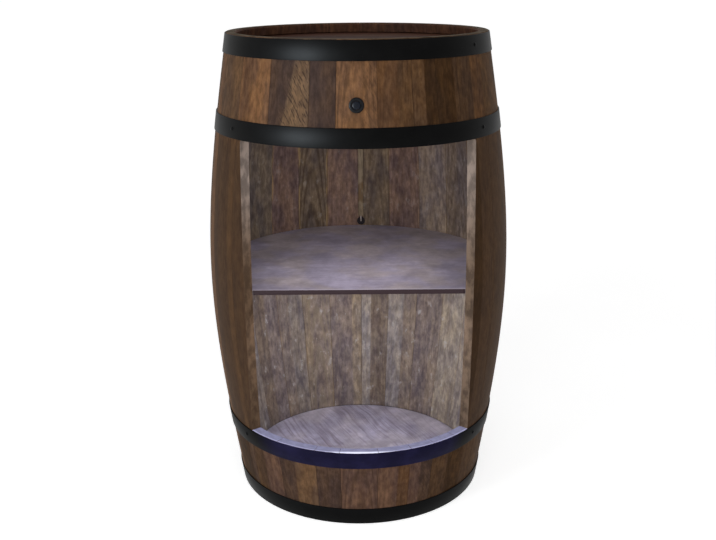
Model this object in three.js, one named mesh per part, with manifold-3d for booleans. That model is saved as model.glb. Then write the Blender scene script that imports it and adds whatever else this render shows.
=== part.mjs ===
// A barrel bar cabinet: a wooden barrel with a wide opening in its front, a shelf, four hoops
// and a light. Millimetres, +Z up, and the front looks along -Y. Everything is worked out round the
// barrel's upright axis. The origin is on the floor, halfway between the frontmost and rearmost points.

import * as THREE from 'three';
import { mergeVertices } from 'three/addons/utils/BufferGeometryUtils.js';
import Module from 'manifold-3d';

const wasm = await Module();
wasm.setup();

// Barrel
const BARREL_HEIGHT = 800;
const BELLY_RADIUS = 260;
const END_RADIUS = 216.5;
const STAVE_THICKNESS = 17;
const CHIME_BEVEL = 3;
const JOINT_GAP = 0.3;
const FACET_DEGREES = 6;
const OUTER_STATIONS = 12;
const INNER_STATIONS = 12;

// Directions of the joints between the staves, in degrees from the front, positive to the right
const JOINT_DEGREES = [
  -52.2, -35.4, -18.3, -8.1, 7.2, 20.7, 31.1, 42,
  58.5, 74, 89.5, 105, 120, 135, 150, 165, 178.6,
  194.6, 208.9, 223.5, 240.3, 257.1, 274, 290.9, 307.8,
];
const FIRST_CUT_STAVE = 1;
const CUT_STAVES = 6;

// Heads: the round boards in the grooves near both ends of the staves
const HEAD_THICKNESS = 16;
const TOP_HEAD_RECESS = 17.5;
const BOTTOM_HEAD_HEIGHT = 6;
const CROZE_DEPTH = 4;
const HEAD_FIT_GAP = 0.4;

// Hoops: flat strips bent round the barrel, their ends lapped and riveted at the back
const HOOP_WIDTH = 30;
const HOOP_THICKNESS = 1.6;
const HOOP_FIT_GAP = 0.3;
const HOOP_END_INSET = 1;
const UPPER_HOOP_DROP = 126.4;
const LOWER_HOOP_RISE = 113.8;
const LAP_DEGREES = 12;
const LAP_MIDDLE_DEGREES = 180;
const LAP_RISE_DEGREES = 12;
const LAP_GAP = 0.3;

// Opening in the front, from the lower hoop to the upper hoop, with the directions of its edges
const OPENING_BELLY_DEGREES = 45.05;
const OPENING_TOP_DEGREES = 49.85;
const OPENING_CORNER_RADIUS = 5;
const OPENING_STATIONS = 15;
const OPENING_FACETS = 12;
const CORNER_STATIONS = 3;

// Rivets and nails
const RIVET_SHANK_RADIUS = 2.2;
const RIVET_HEAD_RADIUS = 5;
const RIVET_HEAD_HEIGHT = 2.2;
const RIVET_DEGREES = [-2, 2];
const NAIL_SHANK_RADIUS = 1.3;
const NAIL_SHANK_LENGTH = 12;
const NAIL_HEAD_RADIUS = 3;
const NAIL_HEAD_HEIGHT = 1.2;
const NAIL_DEGREES = 55.2;
const PIN_GAP = 0.3;
const PIN_SIDES = 8;
const DOME_STEPS = 2;

// Shelf and the two cleats that it lies on
const SHELF_HEIGHT = 402;
const SHELF_THICKNESS = 8;
const SHELF_SETBACK = 11.7;
const SHELF_FIT_GAP = 0.4;
const CLEAT_HEIGHT = 20;
const CLEAT_DEPTH = 20;
const CLEAT_LENGTH = 120;
const CLEAT_DEGREES = 96;

// Push button for the light, in the front above the upper hoop
const SWITCH_DEGREES = -0.5;
const SWITCH_ABOVE_HOOP = 32.6;
const SWITCH_FLANGE_RADIUS = 11.4;
const SWITCH_FLANGE_EDGE = 1.3;
const SWITCH_FLANGE_HEIGHT = 3;
const SWITCH_RIM_RADIUS = 9.2;
const SWITCH_BODY_RADIUS = 8;
const SWITCH_BODY_LENGTH = 30;
const SWITCH_BORE_DEPTH = 6;
const SWITCH_SIDES = 24;
const BUTTON_RADIUS = 6.2;
const BUTTON_PROUD = 2.6;
const BUTTON_DOME = 1.4;
const BUTTON_TRAVEL = 2.5;
const SLIDING_GAP = 0.3;
const NUT_ACROSS_FLATS = 20;
const NUT_THICKNESS = 3.5;
const NUT_SIDES = 6;
const TERMINAL_LENGTH = 8;
const TERMINAL_WIDTH = 4.8;
const TERMINAL_THICKNESS = 0.8;
const TERMINAL_SPACING = 6;

// Light strip on the inside of the front, just above the opening
const LIGHT_WIDTH = 10;
const LIGHT_THICKNESS = 2.5;
const LIGHT_ABOVE_OPENING = 8;
const LIGHT_HALF_DEGREES = 40;

// Leads, their duct on the back wall, and the grommet that the supply lead enters by
const BACK_LINE_DEGREES = 178.6;
const GROMMET_ABOVE_SHELF = 9;
const GROMMET_FLANGE_RADIUS = 8;
const GROMMET_FLANGE_THICKNESS = 1.6;
const GROMMET_BODY_RADIUS = 4.6;
const GROMMET_BORE_RADIUS = 1.9;
const DUCT_SIZE = 10;
const DUCT_WALL = 0.8;
const DUCT_ABOVE_GROMMET = 12;
const DUCT_BELOW_HEAD = 32;
const LEAD_RADIUS = 1.5;
const LEAD_BEND_RADIUS = 6;
const LEAD_WIDE_BEND_RADIUS = 22;
const LEAD_SIDES = 8;
const LEAD_STEP_LENGTH = 10;
const WALL_RUNS = 6;

// Gap between pieces that touch, and how far a cutter runs past what it cuts
const SEAT_GAP = 0.3;
const OVERRUN = 20;

const FULL_TURN_DEGREES = 360;
const AROUND = FULL_TURN_DEGREES / FACET_DEGREES;

// Heights that follow from the sizes above
const upperHoopTop = BARREL_HEIGHT - UPPER_HOOP_DROP;
const openingTop = upperHoopTop - HOOP_WIDTH;
const lowerHoopLow = LOWER_HOOP_RISE;
const openingLow = lowerHoopLow + HOOP_WIDTH;
const hoopLows = {
  top: BARREL_HEIGHT - HOOP_END_INSET - HOOP_WIDTH,
  upper: openingTop,
  lower: lowerHoopLow,
  bottom: HOOP_END_INSET,
};
const topHeadHigh = BARREL_HEIGHT - TOP_HEAD_RECESS;
const topHeadLow = topHeadHigh - HEAD_THICKNESS;
const bottomHeadLow = BOTTOM_HEAD_HEIGHT;
const bottomHeadHigh = bottomHeadLow + HEAD_THICKNESS;
const shelfLow = SHELF_HEIGHT - SHELF_THICKNESS;
const switchHeight = upperHoopTop + SWITCH_ABOVE_HOOP;
const grommetHeight = SHELF_HEIGHT + GROMMET_ABOVE_SHELF;
const lightLow = openingTop + LIGHT_ABOVE_OPENING;

// How far a height is from the belly, as a share of the way to an end
function endShare(height) {
  return Math.abs(2 * height / BARREL_HEIGHT - 1);
}

// A stave is a plank bent by the hoops: its curve is that of a beam held in its middle
function outerRadius(height) {
  const share = endShare(height);
  return BELLY_RADIUS - (BELLY_RADIUS - END_RADIUS) * (3 * share ** 2 - share ** 3) / 2;
}

function innerRadius(height) {
  return outerRadius(height) - STAVE_THICKNESS;
}

function wallSlope(height) {
  return (outerRadius(height + SEAT_GAP) - outerRadius(height - SEAT_GAP)) / (2 * SEAT_GAP);
}

function direction(degrees) {
  const angle = THREE.MathUtils.degToRad(degrees);
  return new THREE.Vector2(Math.sin(angle), -Math.cos(angle));
}

function at(degrees, radius, height) {
  const flat = direction(degrees).multiplyScalar(radius);
  return new THREE.Vector3(flat.x, flat.y, height);
}

// A frame on the wall: X runs round the barrel, Z points out of the wall
function wallFrame(degrees, height, radius) {
  const flat = direction(degrees);
  const outward = new THREE.Vector3(flat.x, flat.y, -wallSlope(height)).normalize();
  const around = new THREE.Vector3(-flat.y, flat.x, 0);
  const up = new THREE.Vector3().crossVectors(outward, around);
  return new THREE.Matrix4().makeBasis(around, up, outward).setPosition(at(degrees, radius, height));
}

// Closed solids for cutting and joining
function solidOf(geometry) {
  const bare = geometry.clone();
  bare.deleteAttribute('normal');
  bare.deleteAttribute('uv');
  const merged = mergeVertices(bare);
  const corners = merged.index.array;
  const triangles = [];
  for (let i = 0; i < corners.length; i += 3) {
    const [a, b, c] = corners.slice(i, i + 3);
    if (a !== b && b !== c && c !== a) triangles.push(a, b, c);
  }
  return new wasm.Manifold(new wasm.Mesh({
    numProp: 3,
    vertProperties: new Float32Array(merged.attributes.position.array),
    triVerts: new Uint32Array(triangles),
  }));
}

function geometryOf(solid) {
  const mesh = solid.getMesh();
  const geometry = new THREE.BufferGeometry();
  geometry.setAttribute('position', new THREE.Float32BufferAttribute(mesh.vertProperties, 3));
  geometry.setIndex(Array.from(mesh.triVerts));
  geometry.computeVertexNormals();
  return geometry;
}

// Turns a closed profile of radius and height round the barrel's axis
function turned(points, sides = AROUND) {
  const profile = points.map(([radius, height]) => new THREE.Vector2(radius, height));
  return new THREE.LatheGeometry(profile, sides).rotateX(Math.PI / 2);
}

function stations(from, to, count) {
  return Array.from({ length: count + 1 }, (_, i) => from + (to - from) * i / count);
}

// Bends a box: place takes three shares, around, from the outside inwards, and up, and gives a point
function bent(aroundCount, upCount, place) {
  const geometry = new THREE.BoxGeometry(1, 1, 1, aroundCount, 1, upCount);
  const points = geometry.attributes.position;
  const half = new THREE.Vector3(1, 1, 1).multiplyScalar(1 / 2);
  const share = new THREE.Vector3();
  for (let i = 0; i < points.count; i += 1) {
    share.fromBufferAttribute(points, i).add(half);
    const point = place(share.x, share.y, share.z);
    points.setXYZ(i, point.x, point.y, point.z);
  }
  return geometry;
}

function box(width, depth, height) {
  return new THREE.BoxGeometry(width, depth, height);
}

// The inside of the wall between the two heads, from the bottom up, moved inwards by an offset
function innerLine(offset) {
  const heights = stations(bottomHeadHigh + SEAT_GAP, topHeadLow - SEAT_GAP, INNER_STATIONS);
  return heights.map((z) => [innerRadius(z) - offset, z]);
}

// The least radius of the wall's inside at a height, because its facets cut a little inside its curve
function facetedInside(height) {
  const line = innerLine(0);
  const next = Math.max(1, line.findIndex(([, z]) => z >= height));
  const [[lowRadius, low], [highRadius, high]] = [line[next - 1], line[next]];
  const share = (height - low) / (high - low);
  return THREE.MathUtils.lerp(lowRadius, highRadius, share) * Math.cos(Math.PI / AROUND);
}

// The barrel's wall in one piece, with the grooves for the heads
function wallProfile() {
  const outer = stations(0, BARREL_HEIGHT, OUTER_STATIONS).map((z) => [outerRadius(z), z]);
  const groove = (low, high) => {
    const floor = innerRadius((low + high) / 2) + CROZE_DEPTH;
    return [
      [innerRadius(high + SEAT_GAP), high + SEAT_GAP],
      [floor, high + SEAT_GAP],
      [floor, low - SEAT_GAP],
      [innerRadius(low - SEAT_GAP), low - SEAT_GAP],
    ];
  };
  return [
    ...outer,
    [innerRadius(BARREL_HEIGHT) + CHIME_BEVEL, BARREL_HEIGHT],
    [innerRadius(BARREL_HEIGHT - CHIME_BEVEL), BARREL_HEIGHT - CHIME_BEVEL],
    ...groove(topHeadLow, topHeadHigh),
    ...innerLine(0).slice(1, -1).reverse(),
    ...groove(bottomHeadLow, bottomHeadHigh),
    [innerRadius(CHIME_BEVEL), CHIME_BEVEL],
    [innerRadius(0) + CHIME_BEVEL, 0],
    [outerRadius(0), 0],
  ];
}

// The direction of the opening's edges turns outwards as the barrel narrows, which keeps them upright
function openingDegrees(height) {
  const share = (endShare(height) / endShare(openingTop)) ** 2;
  return THREE.MathUtils.lerp(OPENING_BELLY_DEGREES, OPENING_TOP_DEGREES, share);
}

function openingHalfWidth(height) {
  return outerRadius(height) * Math.sin(THREE.MathUtils.degToRad(openingDegrees(height)));
}

// What is cut from the front, square to the wall, with rounded top corners
function openingCutter() {
  const straightShare = 1 - CORNER_STATIONS / OPENING_STATIONS;
  const cornerLow = openingTop - OPENING_CORNER_RADIUS;
  const edge = (upShare) => {
    if (upShare <= straightShare) {
      const height = THREE.MathUtils.lerp(openingLow, cornerLow, upShare / straightShare);
      return [height, openingHalfWidth(height)];
    }
    const turn = (upShare - straightShare) / (1 - straightShare) * Math.PI / 2;
    const height = cornerLow + OPENING_CORNER_RADIUS * Math.sin(turn);
    return [height, openingHalfWidth(height) - OPENING_CORNER_RADIUS * (1 - Math.cos(turn))];
  };
  return bent(OPENING_FACETS, OPENING_STATIONS, (around, depth, up) => {
    const [height, halfWidth] = edge(up);
    const halfDegrees = THREE.MathUtils.radToDeg(Math.asin(halfWidth / outerRadius(height)));
    const outside = outerRadius(height) + OVERRUN;
    const inside = innerRadius(height) - OVERRUN;
    return at(halfDegrees * (2 * around - 1), outside + (inside - outside) * depth, height);
  });
}

// The room between two joints, less half a gap on each side
function wedge(from, to, low, high) {
  const half = THREE.MathUtils.degToRad((to - from) / 2);
  const apex = direction((from + to) / 2).multiplyScalar(JOINT_GAP / 2 / Math.sin(half));
  const reach = 2 * BELLY_RADIUS;
  const corner = (degrees) => direction(degrees).multiplyScalar(reach).add(apex);
  const shape = new THREE.Shape([apex, corner(from), corner(to)]);
  const geometry = new THREE.ExtrudeGeometry(shape, { depth: high - low, bevelEnabled: false });
  return solidOf(geometry.translate(0, 0, low));
}

// The room inside the barrel between the heads, less a gap at the wall
function cavity(gap) {
  const wall = innerLine(gap);
  return solidOf(turned([[0, wall[0][1]], ...wall, [0, wall[wall.length - 1][1]]]));
}

// A lining of the wall on its inside, between two distances from it
function lining(outside, inside) {
  const outer = innerLine(outside);
  return solidOf(turned([...outer, ...innerLine(inside).reverse(), outer[0]]));
}

function head(low) {
  const radius = innerRadius(low + HEAD_THICKNESS / 2) + CROZE_DEPTH - HEAD_FIT_GAP;
  return turned([[0, low], [radius, low], [radius, low + HEAD_THICKNESS], [0, low + HEAD_THICKNESS]]);
}

// Hoops
function lapLift(degrees) {
  const share = (degrees - FULL_TURN_DEGREES + LAP_RISE_DEGREES) / LAP_RISE_DEGREES;
  return THREE.MathUtils.clamp(share, 0, 1) * (HOOP_THICKNESS + LAP_GAP);
}

function hoopBand(low) {
  const lapStart = LAP_MIDDLE_DEGREES - LAP_DEGREES / 2;
  const turn = FULL_TURN_DEGREES + LAP_DEGREES;
  return bent(Math.round(turn / FACET_DEGREES), 1, (around, depth, up) => {
    const degrees = around * turn;
    const height = low + up * HOOP_WIDTH;
    const inside = outerRadius(height) + HOOP_FIT_GAP + lapLift(degrees);
    return at(lapStart + degrees, inside + (1 - depth) * HOOP_THICKNESS, height);
  });
}

function hoopMiddle(low) {
  return low + HOOP_WIDTH / 2;
}

function lapFrame(low, degrees) {
  const height = hoopMiddle(low);
  const radius = outerRadius(height) + HOOP_FIT_GAP + 2 * HOOP_THICKNESS + LAP_GAP;
  return wallFrame(LAP_MIDDLE_DEGREES + degrees, height, radius);
}

function nailFrame(low, degrees) {
  const height = hoopMiddle(low);
  return wallFrame(degrees, height, outerRadius(height) + HOOP_FIT_GAP + HOOP_THICKNESS);
}

// A pin with a low domed head: its shank runs inwards from zero, and its head sits a gap outside
function headedPin(shankRadius, shankLength, headRadius, headHeight) {
  const dome = stations(0, Math.PI / 2, DOME_STEPS).slice(0, -1);
  return turned([
    [0, -shankLength],
    [shankRadius, -shankLength],
    [shankRadius, SEAT_GAP],
    [headRadius, SEAT_GAP],
    ...dome.slice(1).map((a) => [headRadius * Math.cos(a), SEAT_GAP + headHeight * Math.sin(a)]),
    [0, SEAT_GAP + headHeight],
  ], PIN_SIDES);
}

// What a drill takes away, from a depth below a frame's face to a height above it
function hole(radius, depth, height, frame, sides = PIN_SIDES) {
  const drill = turned([[0, -depth], [radius, -depth], [radius, height], [0, height]], sides);
  return solidOf(drill.applyMatrix4(frame));
}

const rivetLength = 2 * HOOP_THICKNESS + LAP_GAP;
const rivetHoleRadius = RIVET_SHANK_RADIUS + PIN_GAP;
const nailHoleRadius = NAIL_SHANK_RADIUS + PIN_GAP;

function rivet() {
  return headedPin(RIVET_SHANK_RADIUS, rivetLength, RIVET_HEAD_RADIUS, RIVET_HEAD_HEIGHT);
}

function nail() {
  return headedPin(NAIL_SHANK_RADIUS, NAIL_SHANK_LENGTH, NAIL_HEAD_RADIUS, NAIL_HEAD_HEIGHT);
}

// Nails beside the opening: which hoop, and on which side
const nails = [
  { hoop: 'top', side: 'right', degrees: NAIL_DEGREES },
  { hoop: 'upper', side: 'left', degrees: -NAIL_DEGREES },
  { hoop: 'upper', side: 'right', degrees: NAIL_DEGREES },
  { hoop: 'lower', side: 'left', degrees: -NAIL_DEGREES },
  { hoop: 'lower', side: 'right', degrees: NAIL_DEGREES },
];

function nailHole({ hoop, degrees }) {
  return hole(nailHoleRadius, NAIL_SHANK_LENGTH + SEAT_GAP, OVERRUN, nailFrame(hoopLows[hoop], degrees));
}

function hoop(name) {
  const low = hoopLows[name];
  let solid = solidOf(hoopBand(low));
  for (const degrees of RIVET_DEGREES) {
    solid = solid.subtract(hole(rivetHoleRadius, rivetLength + OVERRUN, OVERRUN, lapFrame(low, degrees)));
  }
  for (const each of nails.filter((one) => one.hoop === name)) {
    solid = solid.subtract(nailHole(each));
  }
  return solid;
}

// Push button
const switchFrame = wallFrame(SWITCH_DEGREES, switchHeight, outerRadius(switchHeight));
const switchBoreRadius = BUTTON_RADIUS + SLIDING_GAP;
const switchHoleRadius = SWITCH_BODY_RADIUS + SEAT_GAP;
const switchTop = SEAT_GAP + SWITCH_FLANGE_HEIGHT;

function terminal(side) {
  const blade = box(TERMINAL_THICKNESS, TERMINAL_WIDTH, TERMINAL_LENGTH + SEAT_GAP);
  const middle = (SEAT_GAP - TERMINAL_LENGTH) / 2 - SWITCH_BODY_LENGTH;
  return solidOf(blade.translate(side * TERMINAL_SPACING / 2, 0, middle));
}

function switchBody() {
  const rim = stations(0, Math.PI / 2, DOME_STEPS).map((a) => [
    SWITCH_RIM_RADIUS + (SWITCH_FLANGE_RADIUS - SWITCH_RIM_RADIUS) * Math.cos(a),
    SEAT_GAP + SWITCH_FLANGE_EDGE + (SWITCH_FLANGE_HEIGHT - SWITCH_FLANGE_EDGE) * Math.sin(a),
  ]);
  const turnedBody = turned([
    [0, -SWITCH_BODY_LENGTH],
    [SWITCH_BODY_RADIUS, -SWITCH_BODY_LENGTH],
    [SWITCH_BODY_RADIUS, SEAT_GAP],
    [SWITCH_FLANGE_RADIUS, SEAT_GAP],
    ...rim,
    [switchBoreRadius, switchTop],
    [switchBoreRadius, switchTop - SWITCH_BORE_DEPTH - BUTTON_TRAVEL],
    [0, switchTop - SWITCH_BORE_DEPTH - BUTTON_TRAVEL],
  ], SWITCH_SIDES);
  return solidOf(turnedBody).add(terminal(-1)).add(terminal(1));
}

function switchButton() {
  const low = switchTop - SWITCH_BORE_DEPTH + SEAT_GAP;
  const shoulder = switchTop + BUTTON_PROUD - BUTTON_DOME;
  const dome = stations(0, Math.PI / 2, DOME_STEPS + 1).slice(0, -1);
  return turned([
    [0, low],
    [BUTTON_RADIUS, low],
    ...dome.map((a) => [BUTTON_RADIUS * Math.cos(a), shoulder + BUTTON_DOME * Math.sin(a)]),
    [0, switchTop + BUTTON_PROUD],
  ], SWITCH_SIDES);
}

function switchNut() {
  const cornerRadius = NUT_ACROSS_FLATS / 2 / Math.cos(Math.PI / NUT_SIDES);
  const wallDepth = outerRadius(switchHeight) - facetedInside(switchHeight);
  const wallRise = cornerRadius ** 2 / (2 * innerRadius(switchHeight));
  const high = -wallDepth - wallRise - SEAT_GAP;
  const low = high - NUT_THICKNESS;
  const disc = (radius, from, to, sides) => {
    return solidOf(turned([[0, from], [radius, from], [radius, to], [0, to]], sides));
  };
  const bore = disc(switchHoleRadius, low - OVERRUN, OVERRUN, SWITCH_SIDES);
  return disc(cornerRadius, low, high, NUT_SIDES).subtract(bore);
}

// Light strip
function lightStrip() {
  const span = wedge(-LIGHT_HALF_DEGREES, LIGHT_HALF_DEGREES, lightLow, lightLow + LIGHT_WIDTH);
  return lining(SEAT_GAP, SEAT_GAP + LIGHT_THICKNESS).intersect(span);
}

// Shelf: it fills the room behind a straight front edge, and lies on a cleat on each side
function shelf() {
  const edge = at(openingDegrees(SHELF_HEIGHT), outerRadius(SHELF_HEIGHT), SHELF_HEIGHT);
  const front = edge.y + SHELF_SETBACK;
  const back = BELLY_RADIUS;
  const board = box(2 * BELLY_RADIUS, back - front, SHELF_THICKNESS);
  board.translate(0, (front + back) / 2, (shelfLow + SHELF_HEIGHT) / 2);
  return solidOf(board).intersect(cavity(SHELF_FIT_GAP));
}

function cleat(degrees) {
  const high = shelfLow - SEAT_GAP;
  const low = high - CLEAT_HEIGHT;
  const inner = innerRadius(high) - CLEAT_DEPTH;
  const block = box(CLEAT_LENGTH, CLEAT_DEPTH + OVERRUN, CLEAT_HEIGHT);
  block.translate(0, -inner - (CLEAT_DEPTH + OVERRUN) / 2, (low + high) / 2);
  block.rotateZ(THREE.MathUtils.degToRad(degrees));
  return solidOf(block).intersect(cavity(SEAT_GAP));
}

// Grommet through the joint at the back, and the duct above it
const grommetFrame = wallFrame(BACK_LINE_DEGREES, grommetHeight, facetedInside(grommetHeight));
const grommetHoleRadius = GROMMET_BODY_RADIUS + SEAT_GAP;

function grommet() {
  const wallRise = GROMMET_FLANGE_RADIUS ** 2 / (2 * innerRadius(grommetHeight));
  const seat = -wallRise - SEAT_GAP;
  return turned([
    [GROMMET_BORE_RADIUS, seat - GROMMET_FLANGE_THICKNESS],
    [GROMMET_FLANGE_RADIUS, seat - GROMMET_FLANGE_THICKNESS],
    [GROMMET_FLANGE_RADIUS, seat],
    [GROMMET_BODY_RADIUS, seat],
    [GROMMET_BODY_RADIUS, STAVE_THICKNESS],
    [GROMMET_BORE_RADIUS, STAVE_THICKNESS],
    [GROMMET_BORE_RADIUS, seat - GROMMET_FLANGE_THICKNESS],
  ], PIN_SIDES);
}

const ductLow = grommetHeight + DUCT_ABOVE_GROMMET;
const ductHigh = topHeadLow - DUCT_BELOW_HEAD;

function duct() {
  const layer = (outside, inside, width, overrun) => {
    const height = ductHigh - ductLow + 2 * overrun;
    const slab = box(width, 2 * BELLY_RADIUS, height);
    slab.translate(0, -BELLY_RADIUS, (ductLow + ductHigh) / 2);
    slab.rotateZ(THREE.MathUtils.degToRad(BACK_LINE_DEGREES));
    return lining(outside, inside).intersect(solidOf(slab));
  };
  const outside = layer(SEAT_GAP, DUCT_SIZE, DUCT_SIZE, 0);
  return outside.subtract(layer(-SEAT_GAP, DUCT_SIZE - DUCT_WALL, DUCT_SIZE - 2 * DUCT_WALL, OVERRUN));
}

// Leads: straight runs between corners, each corner rounded to its radius
function routed(corners) {
  const path = new THREE.CurvePath();
  let from = corners[0].point;
  corners.slice(1, -1).forEach(({ point, radius }, i) => {
    const into = point.clone().sub(corners[i].point).normalize();
    const out = corners[i + 2].point.clone().sub(point).normalize();
    const reach = radius * Math.tan(into.angleTo(out) / 2);
    const start = point.clone().addScaledVector(into, -reach);
    const end = point.clone().addScaledVector(out, reach);
    path.add(new THREE.LineCurve3(from, start));
    path.add(new THREE.QuadraticBezierCurve3(start, point, end));
    from = end;
  });
  path.add(new THREE.LineCurve3(from, corners[corners.length - 1].point));
  return path;
}

function lead(corners) {
  const path = routed(corners);
  const section = new THREE.Shape().absarc(0, 0, LEAD_RADIUS, 0, 2 * Math.PI);
  return new THREE.ExtrudeGeometry(section, {
    steps: Math.round(path.getLength() / LEAD_STEP_LENGTH),
    extrudePath: path,
    curveSegments: LEAD_SIDES / 2,
  });
}

function terminalEnd(side, upSide) {
  const up = upSide * (TERMINAL_WIDTH / 2 + SEAT_GAP);
  const along = -SWITCH_BODY_LENGTH - TERMINAL_LENGTH / 2;
  return new THREE.Vector3(side * TERMINAL_SPACING / 2, up, along).applyMatrix4(switchFrame);
}

// In by the grommet, up the duct, forwards under the top head and down to the switch
function supplyLead() {
  const offset = SEAT_GAP + LEAD_BEND_RADIUS;
  const runHeight = topHeadLow - SEAT_GAP - LEAD_RADIUS;
  const end = terminalEnd(1, 1);
  const wall = stations(grommetHeight, runHeight, WALL_RUNS).map((height, i) => ({
    point: at(BACK_LINE_DEGREES, facetedInside(height) - offset, height),
    radius: i ? LEAD_WIDE_BEND_RADIUS : LEAD_BEND_RADIUS,
  }));
  return lead([
    { point: at(BACK_LINE_DEGREES, outerRadius(grommetHeight), grommetHeight) },
    ...wall,
    { point: new THREE.Vector3(end.x, end.y, runHeight), radius: LEAD_WIDE_BEND_RADIUS },
    { point: end },
  ]);
}

// From the switch down, then forwards to the light strip
function lightLead() {
  const start = terminalEnd(-1, -1);
  const degrees = THREE.MathUtils.radToDeg(Math.atan2(start.x, -start.y));
  const height = lightLow + LIGHT_WIDTH / 2;
  const end = at(degrees, facetedInside(height) - LIGHT_THICKNESS - 2 * SEAT_GAP, height);
  const corner = new THREE.Vector3(start.x, start.y, height);
  return lead([{ point: start }, { point: corner, radius: LEAD_BEND_RADIUS }, { point: end }]);
}

// Finishes
function finish(colour, roughness, metalness) {
  return new THREE.MeshStandardMaterial({ color: colour, roughness, metalness });
}

function woods(tones) {
  return tones.map((tone) => finish(tone, 0.6, 0));
}

const staveWoods = woods(['#5a4433', '#6b4f35', '#4d3b2c', '#62492f', '#574030']);
const frontWoods = woods(['#5c4a38', '#4a3a2e', '#6e5337', '#5a4331', '#56422f', '#4e3c2c']);
const headWood = finish('#5b4a3d', 0.55, 0);
const boardWood = finish('#7a6c66', 0.5, 0);
const cleatWood = finish('#54412f', 0.65, 0);
const blackSteel = finish('#1b1b1d', 0.45, 0.4);
const blackPlastic = finish('#0c0c0e', 0.3, 0);
const buttonPlastic = finish('#161a22', 0.2, 0);
const nutMetal = finish('#8b8d90', 0.35, 0.9);
const lightStripWhite = finish('#f2f3ff', 0.4, 0);
const ductPlastic = finish('#6d6153', 0.5, 0);
const leadPlastic = finish('#2a2a2c', 0.5, 0);
const grommetRubber = finish('#141416', 0.7, 0);

// Assembly
function piece(name, geometry, material) {
  const mesh = new THREE.Mesh(geometry, material);
  mesh.name = name;
  return mesh;
}

function placed(mesh, frame) {
  mesh.applyMatrix4(frame);
  return mesh;
}

function staves() {
  const group = new THREE.Group();
  let wall = solidOf(turned(wallProfile())).subtract(solidOf(openingCutter()));
  const through = STAVE_THICKNESS + OVERRUN;
  wall = wall.subtract(hole(switchHoleRadius, through, OVERRUN, switchFrame, SWITCH_SIDES));
  wall = wall.subtract(hole(grommetHoleRadius, OVERRUN, through, grommetFrame));
  for (const each of nails) wall = wall.subtract(nailHole(each));
  const low = -OVERRUN;
  const high = BARREL_HEIGHT + OVERRUN;
  const middle = (openingLow + openingTop) / 2;
  const cut = (i, from, to) => {
    return geometryOf(wall.intersect(wedge(JOINT_DEGREES[i], JOINT_DEGREES[i + 1], from, to)));
  };
  let whole = 0;
  for (let i = 0; i < JOINT_DEGREES.length - 1; i += 1) {
    const number = i - FIRST_CUT_STAVE;
    if (number >= 0 && number < CUT_STAVES) {
      const wood = frontWoods[number];
      group.add(piece(`upper_front_stave_${number + 1}`, cut(i, middle, high), wood));
      group.add(piece(`lower_front_stave_${number + 1}`, cut(i, low, middle), wood));
    } else if (number === -1) {
      group.add(piece('left_opening_stave', cut(i, low, high), staveWoods[0]));
    } else if (number === CUT_STAVES) {
      group.add(piece('right_opening_stave', cut(i, low, high), staveWoods[2]));
    } else {
      whole += 1;
      const name = `stave_${String(whole).padStart(2, '0')}`;
      group.add(piece(name, cut(i, low, high), staveWoods[whole % staveWoods.length]));
    }
  }
  return group;
}

function hoops() {
  const group = new THREE.Group();
  for (const [name, low] of Object.entries(hoopLows)) {
    group.add(piece(`${name}_hoop`, geometryOf(hoop(name)), blackSteel));
    RIVET_DEGREES.forEach((degrees, i) => {
      const pin = piece(`${name}_hoop_rivet_${i + 1}`, rivet(), blackSteel);
      group.add(placed(pin, lapFrame(low, degrees)));
    });
  }
  for (const each of nails) {
    const frame = nailFrame(hoopLows[each.hoop], each.degrees);
    group.add(placed(piece(`${each.hoop}_hoop_nail_${each.side}`, nail(), blackSteel), frame));
  }
  return group;
}

function boards() {
  const group = new THREE.Group();
  group.add(piece('top_head', head(topHeadLow), headWood));
  group.add(piece('bottom_head', head(bottomHeadLow), boardWood));
  group.add(piece('shelf', geometryOf(shelf()), boardWood));
  group.add(piece('shelf_cleat_left', geometryOf(cleat(-CLEAT_DEGREES)), cleatWood));
  group.add(piece('shelf_cleat_right', geometryOf(cleat(CLEAT_DEGREES)), cleatWood));
  return group;
}

function pushButton() {
  const group = new THREE.Group();
  group.add(piece('switch_body', geometryOf(switchBody()), blackPlastic));
  group.add(piece('switch_button', switchButton(), buttonPlastic));
  group.add(piece('switch_nut', geometryOf(switchNut()), nutMetal));
  return placed(group, switchFrame);
}

function light() {
  const group = new THREE.Group();
  group.add(piece('light_strip', geometryOf(lightStrip()), lightStripWhite));
  group.add(placed(piece('lead_grommet', grommet(), grommetRubber), grommetFrame));
  group.add(piece('lead_duct', geometryOf(duct()), ductPlastic));
  group.add(piece('supply_lead', supplyLead(), leadPlastic));
  group.add(piece('light_lead', lightLead(), leadPlastic));
  return group;
}

const frontReach = outerRadius(openingTop) + HOOP_FIT_GAP + HOOP_THICKNESS;
const cabinet = new THREE.Group();
cabinet.add(staves(), hoops(), boards(), pushButton(), light());
cabinet.position.y = (frontReach - BELLY_RADIUS) / 2;

export default cabinet;
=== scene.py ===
"""Looks for the barrel bar cabinet, worked out over its fixed CAD frame.

Everything is in metres. Directions round the barrel are in degrees from the front, positive to the
right, as seen from the front.
"""

import math
from collections import namedtuple
from functools import cache

import bmesh
import bpy
import numpy as np
from bpy.props import FloatProperty, FloatVectorProperty, IntProperty, PointerProperty
from bpy.types import Operator, Panel, PropertyGroup
from mathutils import Matrix, Vector


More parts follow.
